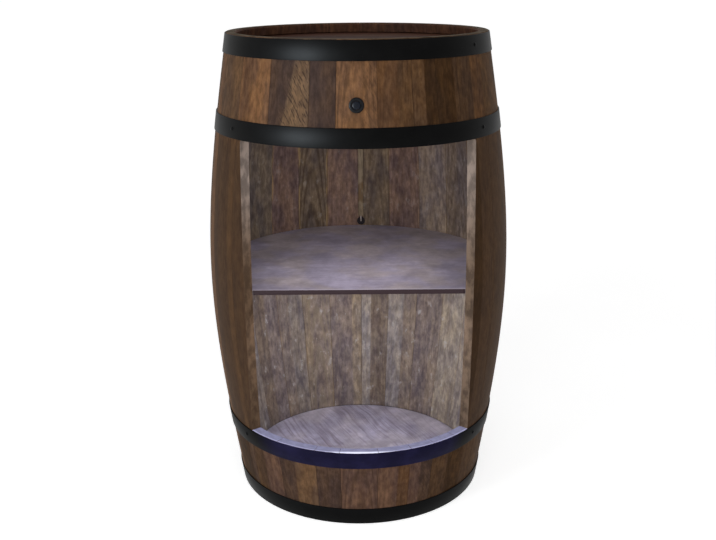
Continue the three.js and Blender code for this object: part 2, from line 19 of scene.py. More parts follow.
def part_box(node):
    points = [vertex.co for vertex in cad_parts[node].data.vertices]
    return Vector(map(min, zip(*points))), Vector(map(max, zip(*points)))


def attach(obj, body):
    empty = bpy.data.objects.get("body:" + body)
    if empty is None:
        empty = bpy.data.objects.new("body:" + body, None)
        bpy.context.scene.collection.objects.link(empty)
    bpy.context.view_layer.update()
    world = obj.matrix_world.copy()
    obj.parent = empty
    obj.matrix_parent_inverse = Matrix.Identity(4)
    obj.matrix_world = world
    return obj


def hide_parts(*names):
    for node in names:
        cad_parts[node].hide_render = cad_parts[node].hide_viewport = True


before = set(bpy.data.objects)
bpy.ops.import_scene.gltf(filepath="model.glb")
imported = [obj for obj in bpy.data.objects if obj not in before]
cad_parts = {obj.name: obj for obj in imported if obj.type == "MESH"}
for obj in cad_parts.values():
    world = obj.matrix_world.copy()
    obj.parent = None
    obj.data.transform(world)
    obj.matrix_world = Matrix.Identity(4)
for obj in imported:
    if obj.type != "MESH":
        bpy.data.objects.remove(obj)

bl_info = {
    "name": "Barrel Bar Cabinet",
    "version": (1, 0, 0),
    "blender": (4, 5, 0),
    "location": "3D View > Sidebar > Barrel",
    "description": "Dresses the barrel cabinet's frame in stained staves, hoops, boards and its light",
    "category": "Object",
}

CABINET = "cabinet"
BUTTON = "button"

# Places that the frame gives
HEAD_LOW, HEAD_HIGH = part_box("top_head")
FLOOR_LOW, FLOOR_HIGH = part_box("bottom_head")
SHELF_LOW, SHELF_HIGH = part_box("shelf")
HOOP_LOW = {name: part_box(name + "_hoop")[0].z for name in ("top", "upper", "lower", "bottom")}
OPENING_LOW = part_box("lower_hoop")[1].z
OPENING_TOP = HOOP_LOW["upper"]
AXIS_Y = (HEAD_LOW.y + HEAD_HIGH.y) / 2

# Places and directions that the CAD source gives
BACK_JOINT = 178.6
GROMMET_HEIGHT = 0.411
GROMMET_HOLE = 0.0049
SWITCH_DEGREES = -0.5
SWITCH_HEIGHT = 0.7062
EDGE_AT_BELLY = 45.05
EDGE_AT_TOP = 49.85
NAIL_DEGREES = 55.2
RIVET_DEGREES = (178.0, 182.0)
LAP_START = 174.0
LAP_DEGREES = 12.0
LAP_LIFT = 0.0019
NAILS = [("top", "right"), ("upper", "left"), ("upper", "right"), ("lower", "left"), ("lower", "right")]
CHAMFER = 0.003
GROOVE_PLAY = 0.0003
GROOVE_RAMP = 0.0013

# Joints between the staves. The stave of index i below runs from joint i to joint i + 1.
JOINTS = [
    -52.2, -35.4, -18.3, -8.1, 7.2, 20.7, 31.1, 42,
    58.5, 74, 89.5, 105, 120, 135, 150, 165, BACK_JOINT,
    194.6, 208.9, 223.5, 240.3, 257.1, 274, 290.9, 307.8,
]
BESIDE_OPENING = ("left_opening_stave", "right_opening_stave")
AT_GROMMET = ("stave_08", "stave_09")


def stain(red, green, blue):
    """A colour whose channels run from 0 to 255, as the linear colour that a shader takes."""
    shares = [channel / 255 for channel in (red, green, blue)]
    return tuple(s / 12.92 if s <= 0.04045 else ((s + 0.055) / 1.055) ** 2.4 for s in shares)


# Tones of stained wood, by the names that the staves' tables use, as linear colours with full alpha
TONES = {
    name: np.array((*stain(*channels), 1))
    for name, channels in {
        "honey": (124, 93, 68),
        "amber": (114, 85, 62),
        "sand": (108, 88, 70),
        "tan": (102, 80, 62),
        "chestnut": (98, 72, 51),
        "umber": (90, 68, 49),
        "walnut": (80, 61, 46),
        "bark": (66, 48, 32),
        "plum": (76, 60, 52),
        "russet": (98, 76, 65),
        "soot": (92, 66, 54),
        "clay": (110, 91, 84),
        "moss": (100, 88, 78),
        "taupe": (104, 94, 86),
        "smoke": (106, 95, 89),
        "dun": (122, 110, 103),
        "pewter": (134, 126, 123),
        "mauve": (130, 119, 117),
        "straw": (145, 132, 119),
        "fawn": (138, 126, 119),
        "pebble": (151, 144, 141),
        "oat": (159, 149, 138),
    }.items()
}

# Each stave: its name, which both parts of a front stave share, outside tone on its left and on its
# right, the share of its width where they meet, inside tone, strength of arched figure, strength of
# slanting saw marks
STAVES = [
    ("left_opening_stave", "walnut", "umber", 0.44, "walnut", 0.15, 0.0),
    ("front_stave_1", "plum", "sand", 0.44, "plum", 0.1, 1.0),
    ("front_stave_2", "plum", "plum", 0.5, "plum", 0.1, 0.1),
    ("front_stave_3", "honey", "amber", 0.75, "amber", 0.7, 0.4),
    ("front_stave_4", "chestnut", "umber", 0.6, "umber", 0.3, 0.0),
    ("front_stave_5", "umber", "bark", 0.5, "walnut", 0.2, 0.0),
    ("front_stave_6", "bark", "walnut", 0.8, "walnut", 0.2, 0.0),
    ("right_opening_stave", "bark", "walnut", 0.5, "walnut", 0.15, 0.0),
    ("stave_01", "walnut", "walnut", 0.5, "clay", 0.1, 0.0),
    ("stave_02", "umber", "walnut", 0.6, "smoke", 0.3, 0.0),
    ("stave_03", "russet", "umber", 0.5, "taupe", 0.1, 0.2),
    ("stave_04", "walnut", "walnut", 0.5, "moss", 0.1, 0.0),
    ("stave_05", "amber", "umber", 0.5, "smoke", 0.5, 0.0),
    ("stave_06", "umber", "umber", 0.5, "dun", 0.2, 0.0),
    ("stave_07", "walnut", "plum", 0.4, "clay", 0.4, 0.3),
    ("stave_08", "umber", "amber", 0.7, "moss", 0.5, 0.0),
    ("stave_09", "russet", "umber", 0.5, "clay", 0.3, 0.3),
    ("stave_10", "walnut", "walnut", 0.5, "moss", 1.0, 0.0),
    ("stave_11", "umber", "honey", 0.75, "clay", 0.3, 0.0),
    ("stave_12", "plum", "umber", 0.5, "taupe", 0.2, 0.0),
    ("stave_13", "umber", "umber", 0.5, "smoke", 0.3, 0.5),
    ("stave_14", "walnut", "umber", 0.5, "umber", 0.1, 0.0),
    ("stave_15", "umber", "amber", 0.6, "walnut", 0.4, 0.0),
    ("stave_16", "walnut", "umber", 0.8, "plum", 0.2, 0.0),
]

# Inside tones under the shelf: at the stave's first joint, at its second, and the share of its
# width where they meet. A stave that isn't listed has the common tone there. They are paler than the
# inside over the shelf: each is the wood's tone with the lower compartment's brighter light painted in.
UNDER_SHELF = {
    "stave_03": ("pebble", "pebble", 0.5),
    "stave_04": ("pebble", "oat", 0.5),
    "stave_05": ("oat", "oat", 0.5),
    "stave_06": ("fawn", "mauve", 0.4),
    "stave_07": ("fawn", "pebble", 0.48),
    "stave_08": ("dun", "pebble", 0.66),
    "stave_09": ("straw", "mauve", 0.30),
    "stave_10": ("fawn", "straw", 0.72),
    "stave_11": ("pewter", "fawn", 0.55),
    "stave_12": ("mauve", "dun", 0.5),
}
COMMON_UNDER_SHELF = ("pewter", "pewter", 0.5)

# Tone of the inside of the rim, over the top
RIM_TONE = "soot"

# Tones of the parts of staves over the opening, and under it, where they differ from the rest
BAND_TONES = {
    "stave_16": ("tan", "tan"),
    "left_opening_stave": ("amber", "honey"),
    "right_opening_stave": ("walnut", "chestnut"),
    "stave_01": ("umber", "umber"),
}
FOOT_TONES = {
    "stave_16": ("bark", "plum"),
    "left_opening_stave": ("walnut", "russet"),
    "front_stave_1": ("plum", "tan"),
    "front_stave_3": ("russet", "russet"),
    "front_stave_4": ("russet", "chestnut"),
    "front_stave_5": ("russet", "plum"),
    "front_stave_6": ("walnut", "bark"),
}

# Strength of the saw marks under the opening
FOOT_SAW = {"front_stave_5": 0.5}

# How far the meeting of a stave's two tones moves across it, in shares of its width per metre up
LEAN = {"front_stave_1": 3.0}

# How much the joints inside and the opening's sawn edges are worn bare, where more than elsewhere
WORN = {"right_opening_stave": 0.65, "stave_09": 0.5, "stave_10": 1.0, "stave_11": 0.9, "stave_12": 0.6}
LEAST_WORN = 0.25

# Staves whose stain is calm between the two middle hoops, and by how much
CALM = (*BESIDE_OPENING, "stave_01", "stave_02", "stave_15", "stave_16")
CALMED = 0.75

# How far apart the pattern is read for neighbouring staves, across and along the grain, and how far
# the inside and the sawn edges are read from the outside
STEP_ACROSS, STEP_ALONG = 3.7, 0.37
INSIDE_SHIFT, EDGE_SHIFT = 1.3, 0.031

# The leads' radius, and their corner points and bend radii, as the CAD source routes them from the
# barrel's axis
LEAD_RADIUS = 0.0015
SUPPLY_LEAD = [
    ((0.00635, 0.25987, 0.41100), 0),
    ((0.00577, 0.23595, 0.41100), 0.006),
    ((0.00572, 0.23421, 0.46995), 0.022),
    ((0.00562, 0.23011, 0.52890), 0.022),
    ((0.00548, 0.22410, 0.58785), 0.022),
    ((0.00529, 0.21656, 0.64680), 0.022),
    ((0.00508, 0.20793, 0.70575), 0.022),
    ((0.00485, 0.19860, 0.76470), 0.022),
    ((0.00128, -0.19752, 0.76470), 0.022),
    ((0.00128, -0.19752, 0.70369), 0),
]
LIGHT_LEAD = [
    ((-0.00473, -0.19830, 0.69835), 0),
    ((-0.00473, -0.19830, 0.65660), 0.006),
    ((-0.00521, -0.21833, 0.65660), 0),
]

# The share of a round panel's radius at which its sides end, so that they aren't points
NEAR_RIM = 0.9999

# The top's boards: the seams as shares of its radius, from front to back, and each board's shade
BOARD_SEAMS = (-1, -0.62, -0.22, 0.17, 0.55, 1)
BOARD_SHADES = (0.5, 0.1, 0.8, 0.3, 1.0)

# Where the camera stands from the barrel's axis, and its turn, downward tilt and roll in degrees
CAMERA_PLACE = (-0.00345, -1.6646, 0.9008)
CAMERA_TURN, CAMERA_TILT, CAMERA_ROLL = -0.08, 17.31, -0.40


def measure(name, default, description, unit="NONE"):
    """A number from zero up that a user may change, in a unit."""
    return FloatProperty(name=name, description=description, default=default, min=0, unit=unit)


def length(name, default, description):
    return measure(name, default, description, "LENGTH")


def power(name, default, description):
    return measure(name, default, description, "POWER")


def colour(name, default, description):
    """A colour that a user may change."""
    return FloatVectorProperty(
        name=name, description=description, default=default, size=3, min=0, max=1, subtype="COLOR"
    )


class BarrelSizes(PropertyGroup):
    """Sizes of the cabinet"""

    height: length("Height", round(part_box("stave_01")[1].z, 5), "Height of the barrel")
    belly: length("Belly radius", 0.260, "Radius of the outside at half height")
    end: length("End radius", 0.2165, "Radius of the outside at the ends")
    thickness: length("Stave thickness", 0.017, "Thickness of every stave")
    joint_gap: length("Joint gap", 0.0003, "Gap between neighbouring staves")
    groove: length("Groove depth", 0.004, "Depth of the grooves that hold the heads")
    edge: length("Edge rounding", 0.0004, "Rounding of the staves' edges")
    corner: length("Opening corner", 0.005, "Radius of the opening's top corners")
    hoop_width: length("Hoop width", 0.030, "Width of the hoop strip")
    hoop_thickness: length("Hoop thickness", 0.0016, "Thickness of the hoop strip")
    hoop_gap: length("Hoop gap", 0.0003, "Gap between a hoop and the staves")
    facets: IntProperty(name="Facets", description="Faces round the push button", default=64, min=12)


class BarrelColours(PropertyGroup):
    """Colours of the cabinet's pieces"""

    # The opening's sawn edges are pale high over the shelf and darker towards the shelf and below it.
    cut_wood: colour("Cut wood", stain(100, 88, 79), "Sawn edges of the opening, over the shelf")
    cut_brown: colour("Worn cut wood", stain(82, 65, 51), "Sawn edges of the opening, further down")
    end_wood: colour("End grain", stain(104, 90, 74), "Ends of the staves")
    # The ledge's colour is the stave ends' wood with the cool light from above painted in.
    ledge: colour("Ledge", stain(119, 117, 138), "Upper ends of the lower front staves")
    # Painted highlight: the bright line along the outer edge of the ledge, in front.
    arris: colour("Arris", stain(238, 238, 250), "Bright outer edge of the ledge, in the middle")
    seam: colour("Worn seam", stain(150, 122, 84), "Bare wood along the joints inside")
    shelf: colour("Shelf", stain(139, 129, 134), "Face of the shelf")
    floor: colour("Floor", stain(183, 175, 185), "Face of the floor")
    streak: colour("Streak", stain(118, 102, 108), "Dark streaks of the shelf and floor")
    head: colour("Head", stain(74, 50, 42), "Boards of the top")
    cleat: colour("Cleat", stain(78, 60, 44), "Cleats under the shelf")
    hoop: colour("Hoop paint", stain(5, 5, 5), "Black satin paint of the hoops")
    # The lower hoop's blue front is painted light: cool blue light on its black paint.
    low_hoop: colour("Lower hoop paint", stain(24, 22, 46), "Blue black front of the lower hoop")
    plastic: colour("Black plastic", stain(8, 8, 10), "Body of the push button")
    cap: colour("Button cap", stain(13, 17, 25), "Cap of the push button")
    grommet: colour("Grommet", stain(30, 25, 27), "Rubber ring where the lead leaves the cabinet")
    light: colour("Light", (0.80, 0.86, 1.0), "Light of the strip")
    trunking: colour("Trunking", stain(106, 92, 75), "Duct on the back wall")
    sheath: colour("Lead sheath", stain(132, 121, 115), "Sheath of the leads")


class BarrelStage(PropertyGroup):
    """The camera's lens and the strengths of the lights"""

    lens: FloatProperty(name="Lens", description="Focal length", default=49.03, min=1, unit="CAMERA")
    daylight: measure("Daylight", 0.34, "Strength of the even light")
    window: power("Window", 16, "Power of the window")
    sheen: power("Sheen", 115, "Power of the lamp that only gloss shows")
    fill: power("Fill", 34, "Power of the front lamp")
    strip: measure("Strip", 6, "Strength of the light strip")
    glow: power("Glow", 0.95, "Power of the lamp under the strip")
    low_glow: power("Low glow", 1.15, "Power of the lamp over the floor")


def sizes():
    return bpy.context.scene.barrel_sizes


def colours():
    return bpy.context.scene.barrel_colours


def stage_values():
    return bpy.context.scene.barrel_stage


def tint(name):
    """One of the user's colours as plain numbers."""
    return tuple(getattr(colours(), name))


def scaled(tone, share):
    """A colour with each channel times a share."""
    return tuple(channel * share for channel in tone)


def grey(share):
    return (share, share, share)


# Materials


class Value:
    """A socket of a material that Python's arithmetic works on: each sign adds a Math node."""

    def __init__(self, recipe, node, output=0):
        self.recipe = recipe
        self.node = node
        self.socket = node.outputs[output] if len(node.outputs) else None

    def out(self, name):
        """Another output of the same node."""
        return Value(self.recipe, self.node, name)

    def math(self, operation, *values):
        return self.recipe.node("ShaderNodeMath", {"operation": operation}, dict(enumerate(values)))

    def __add__(self, other):
        return self.math("ADD", self, other)

    def __radd__(self, other):
        return self.math("ADD", other, self)

    def __sub__(self, other):
        return self.math("SUBTRACT", self, other)

    def __rsub__(self, other):
        return self.math("SUBTRACT", other, self)

    def __mul__(self, other):
        return self.math("MULTIPLY", self, other)

    def __rmul__(self, other):
        return self.math("MULTIPLY", other, self)

    def sine(self):
        return self.math("SINE", self)

    def least(self, other):
        return self.math("MINIMUM", self, other)

    def most(self, other):
        return self.math("MAXIMUM", self, other)

    def step(self, low, high):
        """From 0 at low to 1 at high along a smooth curve."""
        return self.recipe.node(
            "ShaderNodeMapRange",
            {"interpolation_type": "SMOOTHSTEP"},
            {"Value": self, "From Min": low, "From Max": high, "To Min": 0.0, "To Max": 1.0},
        )

    def second(self):
        """The second number of a vector."""
        return self.recipe.node("ShaderNodeSeparateXYZ", None, {0: self}, output="Y")


class Recipe:
    """The nodes of a material or a world in the making."""

    def __init__(self, made):
        made.use_nodes = True
        self.made = made
        self.tree = made.node_tree

    def node(self, kind, settings=None, inputs=None, output=0):
        """Adds a node by its type, settings and sockets' values or links, and gives one of its outputs."""
        node = self.tree.nodes.new(kind)
        for name, setting in (settings or {}).items():
            setattr(node, name, setting)
        for name, value in (inputs or {}).items():
            self.fill(node.inputs[name], value)
        return Value(self, node, output)

    def fill(self, socket, value):
        """Links a socket to a value, or sets it to a number, a vector or a colour."""
        if isinstance(value, Value):
            self.tree.links.new(value.socket, socket)
        elif socket.type == "RGBA":
            socket.default_value = (*value, 1)
        else:
            socket.default_value = value

    def place(self):
        """Object coordinates."""
        return self.node("ShaderNodeTexCoord", output="Object")

    def grain(self):
        """The piece's own map, across the grain and along it."""
        return self.node("ShaderNodeUVMap", {"uv_map": "grain"})

    def attribute(self, name, output="Fac"):
        return self.node("ShaderNodeAttribute", {"attribute_name": name}, output=output)

    def noise(self, place, fineness, detail=3.0, roughness=0.55, turn=0.0):
        """Noise of a fineness along each axis of a place, after a turn about the third axis, in degrees."""
        mapped = self.node(
            "ShaderNodeMapping",
            {"vector_type": "POINT"},
            {"Vector": place, "Rotation": (0, 0, math.radians(turn))},
        )
        stretched = self.node("ShaderNodeVectorMath", {"operation": "MULTIPLY"}, {0: mapped, 1: fineness})
        return self.node(
            "ShaderNodeTexNoise",
            {"noise_dimensions": "3D"},
            {"Vector": stretched, "Scale": 1.0, "Detail": detail, "Roughness": roughness},
        )

    def mix(self, share, first, second, blend="MIX"):
        """Two colours mixed by a share. A Mix node's colours are its sockets 6 and 7, and its output 2."""
        settings = {"data_type": "RGBA", "blend_type": blend, "clamp_factor": True}
        return self.node("ShaderNodeMix", settings, {0: share, 6: first, 7: second}, output=2)

    def times(self, tone, factor, share=1.0):
        """A colour multiplied by another, as far as a share says."""
        return self.mix(share, tone, factor, "MULTIPLY")

    def seen(self):
        """1 for what the camera sees, straight or in gloss or glass, and 0 for all other light."""
        path = self.node("ShaderNodeLightPath", output="Is Camera Ray")
        return path.most(path.out("Is Glossy Ray")).most(path.out("Is Transmission Ray"))

    def bump(self, height, distance, strength):
        bump = self.node(
            "ShaderNodeBump", None, {"Height": height, "Distance": distance, "Strength": strength}
        )
        self.finish(normal=bump)

    def finish(self, **inputs):
        """Fills the shader's sockets. A keyword is a socket's name in small letters, with underscores."""
        shader = self.tree.nodes["Principled BSDF"]
        for name, value in inputs.items():
            self.fill(shader.inputs[name.replace("_", " ").title().replace("Ior", "IOR")], value)


@cache
def material(make):
    """The material that a function makes, with the function's name. It is made once and shared."""
    paint = Recipe(bpy.data.materials.new(make.__name__))
    make(paint)
    return paint.made


def stave_wood(paint):
    """Stained and varnished stave.

    Two tones across it, with long streaks, mottled and blotchy stain, an arched figure, slanting saw
    marks, fibres and pores. Inside it has pale flecks and worn seams, and under the shelf paler tones
    with painted light. Its sawn faces have colours of their own, with painted light and a painted
    highlight on the ledge under the opening.
    """
    grain = paint.grain()

    def noise(across, along, detail, roughness, turn=0.0):
        return paint.noise(grain, (across, along, 1.0), detail, roughness, turn)

    tone, second_tone = (paint.attribute(name, "Color") for name in ("tone", "second_tone"))
    across, split, width, figure, saw, inside, cut, lively, worn = (
        paint.attribute(name)
        for name in ("across", "split", "width", "figure", "saw", "inside", "cut", "lively", "worn")
    )
    height = grain.second() - paint.attribute("shelf_height")
    above = height.step(-0.01, 0.01)
    below = inside * (1 - above)

    wander = noise(9.0, 1.6, 2.0, 0.55)
    blotches = noise(30.0, 11.0, 3.0, 0.6)
    streaks = noise(80.0, 2.6, 4.0, 0.6)
    mottles = noise(150.0, 62.0, 4.0, 0.62)
    clouds = noise(64.0, 34.0, 5.0, 0.62)
    flecks = noise(64.0, 40.0, 6.0, 0.68)
    fibres = noise(620.0, 16.0, 3.0, 0.6)
    pores = noise(1300.0, 55.0, 1.0, 0.5)
    marks = noise(420.0, 56.0, 2.0, 0.5, turn=-32.0)

    past_split = across + (wander - 0.5) * 0.16 - split
    base = paint.mix(past_split.step(-0.03, 0.03), tone, second_tone)
    shade = paint.mix(streaks.step(0.34, 0.66), (0.90, 0.88, 0.87), (1.07, 1.06, 1.04))
    base = paint.times(base, shade)
    speckle = paint.mix(mottles.step(0.34, 0.66), (0.74, 0.72, 0.71), (1.28, 1.26, 1.22))
    speckle = paint.mix(0.35 + lively * 0.5 - inside * 0.1, grey(1.0), speckle)
    base = paint.times(base, speckle)
    hue = paint.mix(blotches.step(0.36, 0.64), (0.80, 0.80, 0.88), (1.22, 1.14, 0.98))
    hue = paint.mix(0.25 + lively * 0.65 - below * 0.30, grey(1.0), hue)
    base = paint.times(base, hue)
    smear = paint.mix(clouds.step(0.36, 0.64), (0.76, 0.74, 0.78), (1.24, 1.23, 1.18))
    base = paint.times(base, smear, 0.25 + lively * 0.25 + inside * 0.25 + below * 0.2)

    bow = (across - 0.5) * (across - 0.5) * 11.0
    rows = grain.second() * 12.0 + bow + wander * 3.0
    arches = (rows * math.tau).sine().step(-0.2, 1.0)
    line = paint.mix(below, (0.040, 0.023, 0.013), (0.30, 0.24, 0.16))
    base = paint.mix(arches * figure * (0.5 - below * 0.12), base, line)
    scored = marks.step(0.52, 0.60) * saw * past_split.step(-0.30, 0.05)
    base = paint.mix(scored * 0.8, base, (0.045, 0.028, 0.020))
    base = paint.mix(fibres.step(0.30, 0.70) * 0.55, paint.times(base, grey(0.72)), base)
    base = paint.mix(pores.step(0.60, 0.72) * 0.35, base, (0.024, 0.016, 0.011))
    scuffed = (flecks * clouds).step(0.31, 0.40) * (below * 0.45 + inside * 0.12)
    base = paint.mix(scuffed, base, (0.42, 0.40, 0.39))

    from_joint = across.least(1 - across) * width
    bare = (1 - from_joint.step(0.0008, 0.0042)) * inside * blotches.step(0.44, 0.60)
    base = paint.mix(bare * worn * (0.3 + above * 0.3), base, tint("seam"))
    gathered = (1 - from_joint.step(0.0, 0.0020)) * (1 - inside)
    base = paint.mix(gathered * 0.12, base, (0.020, 0.013, 0.009))

    sawn = sawn_faces(paint, cut, height + (wander - 0.5) * 0.08, worn, clouds, blotches)
    is_cut = cut.step(0.4, 0.6)
    relief = fibres * 0.5 + pores * 0.25 + streaks * 0.4 + marks * saw * 0.8
    paint.bump(relief, distance=0.0004, strength=0.5)
    paint.finish(
        base_color=paint.mix(is_cut, base, sawn),
        roughness=0.50 + streaks * 0.16 + is_cut * 0.15,
        specular_ior_level=0.02,
    )


def sawn_faces(paint, cut, height, worn, clouds, blotches):
    """Colours of a stave's sawn faces, by the number in "cut".

    1 is the opening's edge, which turns from brown to pale over the shelf, 2 is end grain, and 3 to 4
    is the ledge under the opening from its inner to its outer edge. The ledge's colour has cool light
    painted in, and a painted highlight makes it bright near that outer edge, most in front.
    """
    patchy = clouds.step(0.38, 0.62)
    pale, brown, end, ledge = (tint(name) for name in ("cut_wood", "cut_brown", "end_wood", "ledge"))
    pale_edge = paint.mix(patchy, scaled(pale, 1.2), scaled(pale, 0.62))
    rubbed = paint.mix(worn - LEAST_WORN, brown, pale)
    brown_edge = paint.times(rubbed, paint.mix(patchy, (1.35, 1.32, 1.26), (0.68, 0.66, 0.64)))
    edge = paint.mix(height.step(0.03, 0.20), brown_edge, pale_edge)
    end_grain = paint.mix(blotches.step(0.4, 0.6), end, scaled(end, 0.5))
    # Painted light: the ledge's cool, pale colour.
    on_ledge = paint.mix(patchy, ledge, scaled(ledge, 0.80))
    # Painted highlight: brighter along the ledge's outer edge.
    on_ledge = paint.mix(cut.step(3.80, 3.98), on_ledge, scaled(ledge, 1.9))
    # Painted highlight: the arris colour on the ledge's outer part, in front.
    painted_light_front = 1 - paint.place().second().step(AXIS_Y - 0.2400, AXIS_Y - 0.2290)
    on_ledge = paint.mix(cut.step(3.45, 3.75) * painted_light_front, on_ledge, tint("arris"))
    return paint.mix(cut.step(2.4, 2.6), paint.mix(cut.step(1.4, 1.6), edge, end_grain), on_ledge)


def board_wood(paint, pale, warm, turn, dark, mottle, front):
    """Stained plywood face with a dark front edge.

    Fine wavy streaks and fibres along a direction, cloudy stain that wanders between a warm and a
    cool tint, and pale flecks.
    """
    place = paint.place()
    wander = paint.noise(place, grey(7.0), detail=2.0)
    bent = paint.node(
        "ShaderNodeVectorMath",
        {"operation": "MULTIPLY_ADD"},
        {0: wander.out("Color"), 1: (0.030, 0.030, 0.0), 2: place},
    )
    streaks = paint.noise(bent, (85.0, 5.0, 1.0), turn=turn)
    lines = paint.noise(bent, (210.0, 8.0, 1.0), detail=3.0, roughness=0.5, turn=turn)
    clouds = paint.noise(place, grey(14.0), detail=5.0, roughness=0.66)
    tints = paint.noise(place, (11.0, 9.0, 5.0))
    spots = paint.noise(place, grey(60.0), detail=5.0, roughness=0.66)
    fibres = paint.noise(place, (700.0, 20.0, 1.0), detail=2.0, roughness=0.5, turn=turn)
    deep = tint("streak")

    base = paint.mix(clouds.step(0.34, 0.66), scaled(pale, 0.78), scaled(pale, 1.16))
    base = paint.times(base, paint.mix(tints.step(0.40, 0.60), warm, (0.96, 0.97, 1.06)))
    speckle = paint.mix(spots.step(0.34, 0.66), (0.84, 0.82, 0.84), grey(1.14))
    base = paint.times(base, speckle, mottle)
    gathered = tints.step(0.36, 0.56)
    base = paint.mix(lines.step(0.46, 0.66) * (gathered * 0.8 + 0.2) * dark, base, deep)
    base = paint.mix(streaks.step(0.48, 0.72) * gathered * dark, base, deep)
    base = paint.mix((spots * clouds).step(0.34, 0.42) * mottle * 0.5, base, scaled(pale, 1.7))
    base = paint.mix(fibres.step(0.3, 0.7), paint.times(base, grey(0.90)), base)
    behind = place.second()
    # Painted highlight: a pale line along the front edge of the face. The front face itself is dark.
    rim = paint.mix(behind.step(front + 0.0022, front + 0.0050), scaled(pale, 1.35), base)
    base = paint.mix(behind.step(front + 0.0006, front + 0.0016), stain(48, 35, 38), rim)
    paint.bump(lines * 0.6 + fibres * 0.4, distance=0.0003, strength=0.4)
    paint.finish(base_color=base, roughness=0.44 + clouds * 0.14, specular_ior_level=0.10)


def shelf_wood(paint):
    board_wood(
        paint, tint("shelf"), warm=(1.06, 1.03, 0.94), turn=90.0,
        dark=0.16, mottle=0.45, front=SHELF_LOW.y,
    )


def floor_wood(paint):
    """The floor shows no front edge, so its front is set far before the barrel."""
    board_wood(
        paint, tint("floor"), warm=(1.03, 1.01, 0.99), turn=-24.0,
        dark=0.5, mottle=0.5, front=-1.0,
    )


def head_wood(paint):
    """Reddish stained boards that run from side to side, each with its own shade and figure."""
    board = paint.attribute("board")
    place = paint.node("ShaderNodeVectorMath", {"operation": "ADD"}, {0: paint.place(), 1: board})
    streaks = paint.noise(place, (3.0, 90.0, 1.0), detail=4.0, roughness=0.6)
    blotches = paint.noise(place, (6.0, 14.0, 1.0), detail=4.0, roughness=0.6)
    fibres = paint.noise(place, (16.0, 640.0, 1.0))
    head = tint("head")
    base = paint.mix(streaks.step(0.36, 0.66), scaled(head, 0.6), scaled(head, 1.2))
    base = paint.mix(blotches.step(0.45, 0.7) * 0.4, base, stain(96, 66, 48))
    base = paint.mix(fibres.step(0.3, 0.7), paint.times(base, grey(0.7)), base)
    base = paint.times(base, paint.mix(board, (0.82, 0.82, 0.84), (1.20, 1.16, 1.10)))
    paint.bump(fibres * 0.5 + streaks * 0.5, distance=0.0004, strength=0.5)
    paint.finish(base_color=base, roughness=0.50 + streaks * 0.14, specular_ior_level=0.01)


def cleat_wood(paint):
    """Sawn batten with grain along it."""
    place = paint.place()
    fibres = paint.noise(place, (500.0, 20.0, 500.0), detail=3.0, roughness=0.6)
    blotches = paint.noise(place, (30.0, 10.0, 30.0), detail=3.0, roughness=0.6)
    cleat = tint("cleat")
    base = paint.mix(fibres.step(0.3, 0.7), scaled(cleat, 0.6), scaled(cleat, 1.2))
    base = paint.mix(blotches.step(0.5, 0.7) * 0.5, base, scaled(cleat, 0.55))
    paint.bump(fibres, distance=0.0004, strength=0.5)
    paint.finish(base_color=base, roughness=0.6 + fibres * 0.1)


def satin_paint(paint, tone, gloss):
    """Satin paint on rolled strip: cloudy sheen, fine rolling lines, small rubs of bare steel."""
    place = paint.place()
    clouds = paint.noise(place, (22.0, 22.0, 30.0), detail=4.0, roughness=0.6)
    lines = paint.noise(place, (6.0, 6.0, 900.0), detail=2.0, roughness=0.5)
    rubs = paint.noise(place, (120.0, 120.0, 260.0), detail=3.0, roughness=0.65).step(0.70, 0.78)
    base = paint.times(tone, paint.mix(clouds.step(0.35, 0.7), grey(0.75), grey(1.35)))
    base = paint.mix(rubs * 0.5, base, stain(44, 44, 46))
    paint.bump(lines * 0.4 + clouds * 0.6, distance=0.0002, strength=0.35)
    paint.finish(
        base_color=base, roughness=0.38 + clouds * 0.10, metallic=rubs * 0.3, specular_ior_level=gloss
    )


def hoop_paint(paint):
    satin_paint(paint, tint("hoop"), gloss=0.044)


def low_hoop_paint(paint):
    """Black at the sides and back, and blue black at the front under the opening, which is painted light.
    """
    painted_light_front = paint.place().second().step(-0.165, -0.205)
    satin_paint(paint, paint.mix(painted_light_front, tint("hoop"), tint("low_hoop")), gloss=0.024)


def moulded(paint, tone, roughness):
    """Moulded plastic or rubber: a fine dull texture, and dust that dulls it in patches."""
    place = paint.place()
    skin = paint.noise(place, grey(2200.0), detail=2.0, roughness=0.5)
    dust = paint.noise(place, grey(90.0), detail=3.0, roughness=0.6)
    dusty = tuple(0.8 * channel + 0.008 for channel in tone)
    base = paint.mix(dust.step(0.5, 0.8) * 0.35, tone, dusty)
    base = paint.mix(skin.step(0.4, 0.6) * 0.2, base, scaled(tone, 1.5))
    paint.bump(skin, distance=0.00005, strength=0.3)
    paint.finish(base_color=base, roughness=roughness + dust * 0.12, specular_ior_level=0.10)


def button_body_plastic(paint):
    moulded(paint, tint("plastic"), roughness=0.38)


def button_cap_plastic(paint):
    moulded(paint, tint("cap"), roughness=0.30)


def lead_sheath(paint):
    moulded(paint, tint("sheath"), roughness=0.42)


def grommet_rubber(paint):
    moulded(paint, tint("grommet"), roughness=0.6)


